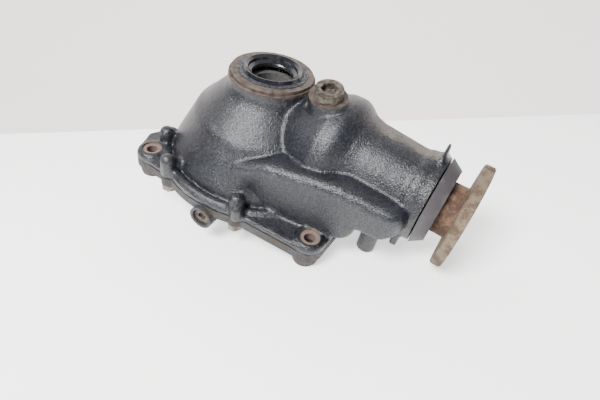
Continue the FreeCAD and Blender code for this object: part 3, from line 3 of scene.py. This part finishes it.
import bmesh
import bpy
from mathutils import Matrix, Vector


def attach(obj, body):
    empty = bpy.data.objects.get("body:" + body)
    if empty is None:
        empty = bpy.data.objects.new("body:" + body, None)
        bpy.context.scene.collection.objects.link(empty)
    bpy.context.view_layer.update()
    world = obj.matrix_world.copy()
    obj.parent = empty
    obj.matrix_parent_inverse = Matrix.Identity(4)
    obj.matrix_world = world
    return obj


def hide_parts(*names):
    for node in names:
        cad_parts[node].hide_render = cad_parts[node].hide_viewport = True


# Front differential, in metres, with the feet of its cover at zero height, the axle axis
# upright and the pinion axis level. Each section makes one piece or group of like pieces.

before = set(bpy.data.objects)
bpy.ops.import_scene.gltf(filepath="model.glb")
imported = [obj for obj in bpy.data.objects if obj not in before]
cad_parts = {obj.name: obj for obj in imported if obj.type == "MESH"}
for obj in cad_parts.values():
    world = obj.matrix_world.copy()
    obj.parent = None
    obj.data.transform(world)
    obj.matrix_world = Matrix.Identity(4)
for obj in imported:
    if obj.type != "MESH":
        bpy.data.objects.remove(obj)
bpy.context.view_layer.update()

# The housing: one grey iron casting, sand cast round a core and painted satin black, with its
# joint face, bores, seal ring and lug faces machined bare.


class Wire:
    """One value in a material's nodes. Sums and products of wires add their Math nodes."""

    def __init__(self, tree, socket):
        self.tree = tree
        self.socket = socket

    def node(self, kind, settings=None, sockets=None, output=0):
        """Adds any node: its type, its settings, the values or wires of its sockets."""
        made = self.tree.nodes.new("ShaderNode" + kind)
        for name, setting in (settings or {}).items():
            if name == "stops":
                ramp = made.color_ramp.elements
                while len(ramp) < len(setting):
                    ramp.new(0.5)
                for stop, (place, shade) in zip(ramp, setting):
                    stop.position = place
                    stop.color = shade
            else:
                setattr(made, name, setting)
        for name, given in (sockets or {}).items():
            if isinstance(given, Wire):
                self.tree.links.new(given.socket, made.inputs[name])
            else:
                made.inputs[name].default_value = given
        return Wire(self.tree, made.outputs[output])

    def math_node(self, operation, first, second):
        return self.node("Math", {"operation": operation}, {0: first, 1: second})

    def __add__(self, other):
        return self.math_node("ADD", self, other)

    __radd__ = __add__

    def __sub__(self, other):
        return self.math_node("SUBTRACT", self, other)

    def __rsub__(self, other):
        return self.math_node("SUBTRACT", other, self)

    def __mul__(self, other):
        return self.math_node("MULTIPLY", self, other)

    __rmul__ = __mul__


def blank_material(name):
    """A new material, and the wire of the place on the piece in metres."""
    material = bpy.data.materials.new(name)
    material.use_nodes = True
    tree = material.node_tree
    return material, Wire(tree, tree.nodes.new("ShaderNodeTexCoord").outputs["Object"])


def connect(material, height, depth, **sockets):
    """Joins wires and values to the shader. The height is raised by a depth in metres."""
    tree = material.node_tree
    shader = tree.nodes["Principled BSDF"]
    bump = height.node("Bump", None, {"Height": height, "Distance": depth, "Strength": 1.0})
    tree.links.new(bump.socket, shader.inputs["Normal"])
    for name, given in sockets.items():
        socket = shader.inputs[name.replace("_", " ")]
        if isinstance(given, Wire):
            tree.links.new(given.socket, socket)
        else:
            socket.default_value = given
    return material


def grain(place, size, detail=3.0, rough=0.55):
    """Cloudy noise from 0 to 1, whose spots are about as large as the given size."""
    return place.node("TexNoise", None, {
        "Vector": place, "Scale": 1 / size, "Detail": detail, "Roughness": rough})


def between(wire, low, high):
    """0 below low and 1 above high, with a soft step."""
    return wire.node("MapRange", {"interpolation_type": "SMOOTHSTEP"}, {
        "Value": wire, "From Min": low, "From Max": high})


def blend(share, low, high):
    """A colour between two."""
    colours = {"Factor": share, 6: low, 7: high}
    return share.node("Mix", {"data_type": "RGBA"}, colours, 2)


def dress(node, material):
    """Gives a node of the CAD model its finish."""
    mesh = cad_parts[node].data
    mesh.materials.clear()
    mesh.materials.append(material)


def facing(place, way):
    """How far the surface faces a way, from -1 to 1."""
    normal = place.node("NewGeometry", output="Normal")
    return place.node("VectorMath", {"operation": "DOT_PRODUCT"}, {0: normal, 1: way}, "Value")


def distance(place, centre, weights=(1, 1, 1)):
    """How far the place is from a centre. A weight of 0 leaves that direction out."""
    offset = place.node("VectorMath", {"operation": "SUBTRACT"}, {0: place, 1: centre})
    weighed = place.node("VectorMath", {"operation": "MULTIPLY"}, {0: offset, 1: weights})
    return place.node("VectorMath", {"operation": "LENGTH"}, {0: weighed}, "Value")


BLACK_PAINT = (0.002, 0.0025, 0.0045, 1)
# worn paint; on the housing this is also the colour of painted glints on the sand grain
BLACK_PAINT_WORN = (0.024, 0.026, 0.033, 1)
CASTING_DUST = (0.17, 0.145, 0.12, 1)
SEAL_RING_RUST = (0.040, 0.023, 0.016, 1)

casting, place = blank_material("black_casting")
sand = grain(place, 0.0014, 2, 0.5)
fine = grain(place, 0.0008, 2)
skin = grain(place, 0.009, 2)
patches = grain(place, 0.035, 4)
height = place.node("SeparateXYZ", None, {0: place}, 2)
from_axle = distance(place, (0, 0, 0), (1, 1, 0))
# lighter bluish specks on the sand grain: partly worn paint, partly painted glints in the base colour
# that stand in for the sparkle of the grain
scuffs_and_glints = between(sand + 0.25 * patches, 0.56, 0.78)
# dirt lies along the top of the neck and round the throat of the bell
neck_top = between(facing(place, (0, 0.35, 1)), 0.88, 1.02) * between(height, 0.096, 0.104)
neck_top = neck_top * between(from_axle, 0.08, 0.10)
throat = between(height, 0.088, 0.112) * between(facing(place, (-1, 0.1, 0.3)), 0.3, 0.9)
specks = between(grain(place, 0.0035, 4, 0.7), 0.56, 0.64)
dusty = between(patches + 0.5 * skin + 0.5 * neck_top + 0.5 * throat, 0.98, 1.35)
paint = blend(scuffs_and_glints, BLACK_PAINT, BLACK_PAINT_WORN)
dusted = blend(dusty * 0.6, paint, CASTING_DUST)
dusted = blend(specks * neck_top * 0.9, dusted, (0.012, 0.011, 0.011, 1))
on_ring = between(height, 0.1125, 0.1135) * between(from_axle, 0.046, 0.044)
ring_tone = blend(between(sand + skin, 0.85, 1.1), SEAL_RING_RUST, (0.022, 0.017, 0.016, 1))
connect(casting, sand + 0.4 * fine + 0.5 * skin + 0.5 * specks * neck_top, 0.0006,
        Base_Color=blend(on_ring, dusted, ring_tone),
        Roughness=0.27 + 0.35 * dusty + 0.10 * patches + 0.35 * on_ring, Metallic=0.0)
dress("housing", casting)

bare_metal, place = blank_material("machined_iron")
cutter_marks = grain(place, 0.0007, 4, 0.7)
oil = grain(place, 0.007, 4)
connect(bare_metal, cutter_marks, 0.00005,
        Base_Color=blend(between(oil, 0.4, 0.7), (0.10, 0.080, 0.068, 1), (0.045, 0.030, 0.023, 1)),
        Roughness=0.42 + 0.3 * oil, Metallic=0.5)
spot_rust, place = blank_material("rusted_spot_face")
speckle = grain(place, 0.0009, 4, 0.7)
connect(spot_rust, speckle, 0.0001,
        Base_Color=blend(between(speckle, 0.4, 0.7), (0.20, 0.145, 0.12, 1), (0.10, 0.072, 0.058, 1)),
        Roughness=0.6, Metallic=0.3)

MM = 0.001
AXIS_HEIGHT = 68
JOINT_HEIGHT = 20
LUG_PLACES = [(x, side * y) for x, y in ((111, 78.4), (-79.1, 85.1)) for side in (-1, 1)]
LUG_FACE = 27.5
LUG_BOLT_RADIUS = 5.5
SPOT_FACE_DEPTH = 0.3
SPOT_FACE_RADIUS = 9.6
BLIND_BOSS_RADIUS = 5.5
TAPPED_RADIUS = 4
BOLT_CIRCLE = 101.5
BOLT_PLACES = [(angle, BOLT_CIRCLE) for angle in (-141, -67.5, -24, 24, 67.5, 115, 141, 163)]
BOLT_PLACES.append((-115, BOLT_CIRCLE + 4.5))
DOWEL_PLACES = [(angle, BOLT_CIRCLE) for angle in (-98, 151)]
FILLER_X = 68
FILLER_TILT = math.radians(12)
LEG_PLACES = [(152, side * 33) for side in (-1, 1)]
LEG_RADIUS = 9
LEG_HOLE_RADIUS = 4.2
SKIN_GRAIN = 1.5
SKIN_ROUNDS = 10
SHARP_EDGE = math.radians(35)
UPRIGHT = Matrix.Translation((0, 0, AXIS_HEIGHT))
LEVEL = UPRIGHT @ Matrix.Rotation(math.radians(90), 4, "Y")
FILLER_LINE = UPRIGHT @ Matrix.Rotation(FILLER_TILT, 4, "X") @ Matrix.Translation((FILLER_X, 0, 0))


def add_turned(mesh, outline, stand=Matrix(), steps=72):
    """Adds a turned solid in millimetres. The outline is (height, radius), from axis to axis,
    and stand places its upright axis."""
    corners = [mesh.verts.new((radius, 0, height)) for height, radius in outline]
    edges = [mesh.edges.new(pair) for pair in zip(corners, corners[1:])]
    bmesh.ops.spin(mesh, geom=corners + edges, cent=(0, 0, 0), axis=(0, 0, 1),
                   angle=math.tau, steps=steps, use_merge=True)
    solid = [vert for vert in mesh.verts if not vert.tag]
    bmesh.ops.remove_doubles(mesh, verts=solid, dist=1e-4)
    solid = [vert for vert in mesh.verts if not vert.tag]
    bmesh.ops.recalc_face_normals(
        mesh, faces=[face for face in mesh.faces if not face.verts[0].tag])
    bmesh.ops.transform(mesh, matrix=Matrix.Scale(MM, 4) @ stand, verts=solid)
    for vert in solid:
        vert.tag = True


def place_on_circle(angle, radius):
    return radius * math.cos(math.radians(angle)), radius * math.sin(math.radians(angle))


def upright_at(across, up):
    return Matrix.Translation((across, up, 0))


def bring(mesh, name, material=None):
    """An object made from a bmesh."""
    data = bpy.data.meshes.new(name)
    mesh.to_mesh(data)
    mesh.free()
    if material:
        data.materials.append(material)
    piece = bpy.data.objects.new(name, data)
    bpy.context.collection.objects.link(piece)
    return piece


def casting_skin(name, blank, cutters, materials, grain_size, rounds):
    """A casting with round fillets: the blank's solids are joined by a remesh and smoothed,
    and each cutter then takes away its machined faces with sharp edges."""
    piece = bring(blank, name)
    joined = piece.modifiers.new("joined", "REMESH")
    joined.mode = "VOXEL"
    joined.voxel_size = grain_size * MM
    fillets = piece.modifiers.new("fillets", "SMOOTH")
    fillets.iterations = rounds
    for material in materials:
        piece.data.materials.append(material)
    for cutter in cutters:
        cut = piece.modifiers.new("cut", "BOOLEAN")
        cut.object = cutter
        cut.solver = "MANIFOLD"
        cut.material_mode = "TRANSFER"
    bpy.context.view_layer.update()
    shape = bpy.data.meshes.new_from_object(
        piece.evaluated_get(bpy.context.evaluated_depsgraph_get()))
    shape.name = name
    piece.modifiers.clear()
    piece.data = shape
    for cutter in cutters:
        bpy.data.objects.remove(cutter)
    shape.shade_smooth()
    shape.set_sharp_from_angle(angle=SHARP_EDGE)
    return piece


def add_cad_solid(mesh, node):
    """Adds a CAD node's solid with its corners merged."""
    mesh.from_mesh(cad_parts[node].data)
    bmesh.ops.remove_doubles(mesh, verts=mesh.verts, dist=1e-6)
    for vert in mesh.verts:
        vert.tag = True


blank = bmesh.new()
add_cad_solid(blank, "housing")
add_turned(blank, [(-48, 0), (-48, 86), (-40, 85), (-17, 82.5), (-1, 70.5), (8.5, 62.5),
                   (20, 47), (20, 42.5), (53, 42.5), (53, 0)], UPRIGHT)
add_turned(blank, [(38, 0), (38, 42), (80, 42), (104, 39.5), (110, 36), (140, 34.5),
                   (176, 34.5), (176, 41.7), (187, 41.7), (187, 0)], LEVEL)
for across, up in LUG_PLACES:
    add_turned(blank, [(17, 0), (17, 14.8), (26, 14.8), (29, 12.5), (29, 0)],
               upright_at(across, up), 36)
for angle, reach in BOLT_PLACES:
    add_turned(blank, [(17, 0), (17, BLIND_BOSS_RADIUS), (40, BLIND_BOSS_RADIUS), (40, 0)],
               upright_at(*place_on_circle(angle, reach)), 24)
for angle, reach in DOWEL_PLACES:
    add_turned(blank, [(17, 0), (17, BLIND_BOSS_RADIUS), (28, BLIND_BOSS_RADIUS), (28, 0)],
               upright_at(*place_on_circle(angle, reach)), 24)
for across, up in LEG_PLACES:
    add_turned(blank, [(5, 0), (5, LEG_RADIUS), (40, LEG_RADIUS), (40, 0)],
               upright_at(across, up), 36)
add_turned(blank, [(20, 0), (20, 17), (61.5, 18), (61.5, 0)], FILLER_LINE, 48)
add_turned(blank, [(16, 0), (16, 99), (21, 99), (21, 0)])

blocks = bmesh.new()
for low, high in (((-140, -130, -20), (128, 130, JOINT_HEIGHT)),
                  ((140, -50, -20), (166, 50, 8)), ((184, -60, 5), (200, 60, 130))):
    middle = [(first + last) / 2 for first, last in zip(low, high)]
    sides = [last - first for first, last in zip(low, high)]
    bmesh.ops.create_cube(blocks, size=1, matrix=Matrix.Scale(MM, 4)
                          @ Matrix.Translation(middle) @ Matrix.Diagonal(sides + [1]))
upright_bores = bmesh.new()
add_turned(upright_bores, [
    (-58, 0), (-58, 84), (-42, 84), (-40, 81.5), (-17, 80.5), (-1, 68.1), (8.5, 60.5),
    (20, 45.5), (20, 36.5), (41.5, 36.5), (41.5, 30.5), (43.5, 30.5), (43.5, 34),
    (50.8, 34), (50.8, 40.2), (47.6, 40.2), (47.6, 42.2), (45.8, 42.2), (45.8, 47), (60, 47),
    (60, 0)], UPRIGHT, 96)
level_bores = bmesh.new()
add_turned(level_bores, [
    (40, 0), (40, 38), (104, 38), (104, 33), (108, 33), (136, 26.5), (140, 26.5), (140, 31),
    (170, 31), (170, 33), (190, 33), (190, 0)], LEVEL, 96)
drilled = bmesh.new()
for angle, reach in BOLT_PLACES:
    add_turned(drilled, [(10, 0), (10, TAPPED_RADIUS), (39, TAPPED_RADIUS), (39, 0)],
               upright_at(*place_on_circle(angle, reach)), 24)
for angle, reach in DOWEL_PLACES:
    add_turned(drilled, [(10, 0), (10, TAPPED_RADIUS), (27.5, TAPPED_RADIUS), (27.5, 0)],
               upright_at(*place_on_circle(angle, reach)), 24)
for across, up in LEG_PLACES:
    add_turned(drilled, [(0, 0), (0, LEG_HOLE_RADIUS), (24, LEG_HOLE_RADIUS), (24, 0)],
               upright_at(across, up), 24)
add_turned(drilled, [(36, 0), (36, 9), (60, 9), (60, 18.5), (66, 18.5), (66, 0)],
           FILLER_LINE, 48)
spot_faces = bmesh.new()
for across, up in LUG_PLACES:
    add_turned(spot_faces, [
        (10, 0), (10, LUG_BOLT_RADIUS), (LUG_FACE - SPOT_FACE_DEPTH, LUG_BOLT_RADIUS),
        (LUG_FACE - SPOT_FACE_DEPTH, SPOT_FACE_RADIUS), (32, SPOT_FACE_RADIUS), (32, 0)],
        upright_at(across, up), 36)
cutters = [bring(blocks, "blocks", bare_metal), bring(upright_bores, "bores", bare_metal),
           bring(level_bores, "level_bores", bare_metal), bring(drilled, "drilled", bare_metal),
           bring(spot_faces, "spot_faces", spot_rust)]
housing = casting_skin("housing_casting", blank, cutters, [casting, bare_metal, spot_rust],
                       SKIN_GRAIN, SKIN_ROUNDS)
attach(housing, "casing")
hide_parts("housing")

# The cover: a dished iron casting under the joint, painted with the housing but dirtier, for
# road grime runs down to its rim and feet.

RIM_GRIME = (0.032, 0.025, 0.020, 1)
cover_coat, place = blank_material("grimy_casting")
sand = grain(place, 0.0018, 5, 0.6)
patches = grain(place, 0.02, 4)
grime = between(patches + 0.5 * sand, 0.55, 0.9)
connect(cover_coat, sand + grime, 0.0005,
        Base_Color=blend(grime, BLACK_PAINT_WORN, RIM_GRIME),
        Roughness=0.5 + 0.3 * grime, Metallic=0.0)
dress("cover", cover_coat)

# Cover bolts, plugs and the other bought fasteners: plated steel, dulled to a brown grey.


def plated(name, bright, dull, size=0.004, metal=0.7, rough=0.42, depth=0.0001):
    """Plated or bare steel with duller patches."""
    coat, place = blank_material(name)
    fine = grain(place, size * 0.2, 4)
    clouds = grain(place, size, 4)
    tarnish = between(clouds + 0.4 * fine, 0.55, 0.85)
    connect(coat, fine, depth, Base_Color=blend(tarnish, bright, dull),
            Roughness=rough + 0.25 * tarnish, Metallic=metal)
    return coat


bolt_steel = plated("bolt_steel", (0.24, 0.21, 0.18, 1), (0.10, 0.075, 0.055, 1))
for node in ("cover_bolts", "crown_wheel_bolts", "pinion_nut"):
    dress(node, bolt_steel)
plug_zinc = plated("corroded_zinc", (0.14, 0.122, 0.098, 1), (0.035, 0.027, 0.021, 1), 0.0045, 0.5)
for node in ("filler_plug", "drain_plug"):
    dress(node, plug_zinc)
soft_washer = plated("soft_washer", (0.15, 0.132, 0.108, 1), (0.05, 0.040, 0.032, 1), 0.006, 0.7)
for node in ("filler_washer", "drain_washer"):
    dress(node, soft_washer)

# Seals: a pressed steel case that is speckled with grime, a glossy black rubber lip, and a
# garter spring.

seal_steel = plated("seal_steel", (0.07, 0.075, 0.09, 1), (0.010, 0.010, 0.011, 1), 0.0018, 0.4)
spring_steel = plated("spring_steel", (0.6, 0.6, 0.58, 1), (0.35, 0.33, 0.3, 1), 0.002, 1.0)
rubber, place = blank_material("seal_rubber")
film = grain(place, 0.004, 3)
connect(rubber, film, 0.00005,
        Base_Color=blend(between(film, 0.5, 0.8), (0.006, 0.007, 0.010, 1),
                         (0.022, 0.024, 0.03, 1)),
        Roughness=0.14 + 0.2 * film, Metallic=0.0)
for seal in ("bell_seal", "cover_seal", "pinion_seal"):
    dress(seal + "_case", seal_steel)
    dress(seal + "_lip", rubber)
    dress(seal + "_spring", spring_steel)
dress("cover_o_ring", rubber)

# Bearings: ground steel races and rollers in phosphated cages, with ground shims.

race_steel = plated("race_steel", (0.62, 0.62, 0.63, 1), (0.50, 0.49, 0.47, 1), 0.008, 1.0, 0.2)
cage_steel = plated("cage_steel", (0.32, 0.29, 0.24, 1), (0.2, 0.18, 0.15, 1), 0.003, 0.8)
for bearing in ("bell_bearing", "cover_bearing", "head_bearing", "tail_bearing"):
    for part in ("_cup", "_cone", "_rollers"):
        dress(bearing + part, race_steel)
    dress(bearing + "_cage", cage_steel)
for node in ("bell_shim", "cover_shim", "pinion_shim_ring", "dowel_pins", "cross_pin",
             "cross_pin_lock", "side_gear_washers", "planet_washers"):
    dress(node, race_steel)
dress("crush_sleeve", cage_steel)

# Gears and shafts: case hardened steel, dark from heat treatment, brighter where it is ground.

gear_steel = plated("gear_steel", (0.36, 0.36, 0.38, 1), (0.22, 0.21, 0.21, 1), 0.01, 1.0, 0.3)
for node in ("crown_wheel", "pinion_shaft", "bell_side_gear", "cover_side_gear",
             "front_planet_gear", "rear_planet_gear"):
    dress(node, gear_steel)
case_iron = plated("case_iron", (0.2, 0.2, 0.2, 1), (0.1, 0.095, 0.09, 1), 0.006, 0.8, 0.5)
dress("differential_case", case_iron)

# The dust shield: a steel pressing with a smooth dark grey coat, pushed onto the flange hub.

shield_coat, place = blank_material("shield_coat")
film = grain(place, 0.012, 4)
connect(shield_coat, grain(place, 0.001, 2), 0.00004,
        Base_Color=blend(between(film, 0.45, 0.8), (0.050, 0.045, 0.050, 1),
                         (0.095, 0.084, 0.083, 1)),
        Roughness=0.5 + 0.2 * film, Metallic=0.0)
dress("dust_shield", shield_coat)

# The input flange: forged steel, turned all over and left bare, now pitted with rust.

flange_metal, place = blank_material("rusted_forging")
pits = grain(place, 0.0012, 5, 0.7)
clouds = grain(place, 0.010, 5, 0.6)
rust = between(clouds + 0.5 * pits, 0.62, 0.85)
on_hub = between(distance(place, (0, 0, 0.068), (0, 1, 1)), 0.031, 0.027)
face_stain = blend(rust, (0.15, 0.112, 0.072, 1), (0.075, 0.047, 0.028, 1))
hub_stain = blend(rust, (0.14, 0.078, 0.045, 1), (0.06, 0.032, 0.020, 1))
pock = between(grain(place, 0.0028, 4, 0.7), 0.60, 0.68)
stain = blend(pock, blend(on_hub, face_stain, hub_stain), (0.05, 0.036, 0.026, 1))
connect(flange_metal, pits + clouds - 0.8 * pock, 0.0005, Base_Color=stain,
        Roughness=0.62 + 0.25 * rust, Metallic=0.15)
dress("input_flange", flange_metal)

# The table that it stands on, which ends behind it, the wall beyond its edge, and the light of
# a bright room.

TABLE_EDGE_LEFT = Vector((-0.3865, -0.053, -0.1275))
TABLE_EDGE_RIGHT = Vector((0.2976, 0.4789, 0.0042))
TABLE_NORMAL = Vector((-0.240, 0.069, 0.968)).normalized()
TABLE_SIZE = 6.0
WALL_DISTANCE = 2.5

along_edge = (TABLE_EDGE_RIGHT - TABLE_EDGE_LEFT).normalized()
beyond_edge = TABLE_NORMAL.cross(along_edge).normalized()
edge_middle = (TABLE_EDGE_LEFT + TABLE_EDGE_RIGHT) / 2
table_mesh = bmesh.new()
bmesh.ops.create_grid(table_mesh, x_segments=2, y_segments=2, size=TABLE_SIZE)
table_stand = Matrix((along_edge, beyond_edge, TABLE_NORMAL)).transposed()
bmesh.ops.transform(table_mesh, verts=table_mesh.verts, matrix=(
    Matrix.Translation(edge_middle - beyond_edge * TABLE_SIZE) @ table_stand.to_4x4()))
table = bpy.data.objects.new("table", bpy.data.meshes.new("table"))
table_mesh.to_mesh(table.data)
table_mesh.free()
bpy.context.collection.objects.link(table)
laminate, place = blank_material("pale_laminate")
clouds = grain(place, 0.09, 4)
connect(laminate, clouds, 0.00002,
        Base_Color=blend(clouds, (0.93, 0.93, 0.92, 1), (0.97, 0.97, 0.955, 1)),
        Roughness=0.45, Metallic=0.0, Emission_Color=(1, 1, 0.99, 1), Emission_Strength=1.1)
table.data.materials.append(laminate)

wall_mesh = bmesh.new()
bmesh.ops.create_grid(wall_mesh, x_segments=2, y_segments=2, size=TABLE_SIZE)
wall_stand = Matrix((along_edge, TABLE_NORMAL, -beyond_edge)).transposed()
bmesh.ops.transform(wall_mesh, verts=wall_mesh.verts, matrix=(
    Matrix.Translation(edge_middle + beyond_edge * WALL_DISTANCE) @ wall_stand.to_4x4()))
wall = bpy.data.objects.new("wall", bpy.data.meshes.new("wall"))
wall_mesh.to_mesh(wall.data)
wall_mesh.free()
bpy.context.collection.objects.link(wall)
plaster, place = blank_material("pale_plaster")
clouds = grain(place, 0.3, 4)
connect(plaster, clouds, 0.00002,
        Base_Color=blend(clouds, (0.80, 0.765, 0.76, 1), (0.84, 0.80, 0.795, 1)),
        Roughness=0.8, Metallic=0.0, Emission_Color=(1, 0.93, 0.90, 1), Emission_Strength=2.2)
wall.data.materials.append(plaster)

ROOM_LIGHT = (0.95, 0.97, 1.0, 1)
ROOM_STRENGTH = 0.12
room = bpy.data.worlds.new("room")
room.use_nodes = True
room.node_tree.nodes["Background"].inputs["Color"].default_value = ROOM_LIGHT
room.node_tree.nodes["Background"].inputs["Strength"].default_value = ROOM_STRENGTH
bpy.context.scene.world = room

# the window is behind the camera, high and a little to its left
OBJECT_MIDDLE = Vector((0.05, 0, 0.05))
WINDOW_PLACE = (-0.22, -0.85, 1.15)
CEILING_PLACE = (0.7, 0.5, 1.9)
FAR_WINDOW_PLACE = (-1.2, -0.3, 1.3)
# each with its place, its width in metres and its power in watts
for name, place, size, power in (("window", WINDOW_PLACE, 0.55, 62),
                                 ("ceiling", CEILING_PLACE, 1.6, 6),
                                 ("far_window", FAR_WINDOW_PLACE, 1.0, 1)):
    light = bpy.data.lights.new(name, "AREA")
    light.size = size
    light.energy = power
    holder = bpy.data.objects.new(name, light)
    holder.location = place
    holder.rotation_euler = (OBJECT_MIDDLE - Vector(place)).to_track_quat("-Z", "Y").to_euler()
    bpy.context.collection.objects.link(holder)

# The camera stands where the photographer did, solved from the bolt holes and round edges.

CAMERA_PLACE = (0.1973, -0.3141, 0.3014)
CAMERA_RIGHT = Vector((0.828, 0.535, 0.167))
CAMERA_FORWARD = Vector((-0.297, 0.672, -0.679))
CAMERA_LENS = 24.58

right = CAMERA_RIGHT.normalized()
back = -CAMERA_FORWARD.normalized()
up = back.cross(right).normalized()
right = up.cross(back)
camera = bpy.data.objects.new("camera", bpy.data.cameras.new("camera"))
camera.data.lens = CAMERA_LENS
camera.data.clip_start = 0.01
camera.matrix_world = (Matrix.Translation(CAMERA_PLACE)
                       @ Matrix((right, up, back)).transposed().to_4x4())
bpy.context.collection.objects.link(camera)
bpy.context.scene.camera = camera
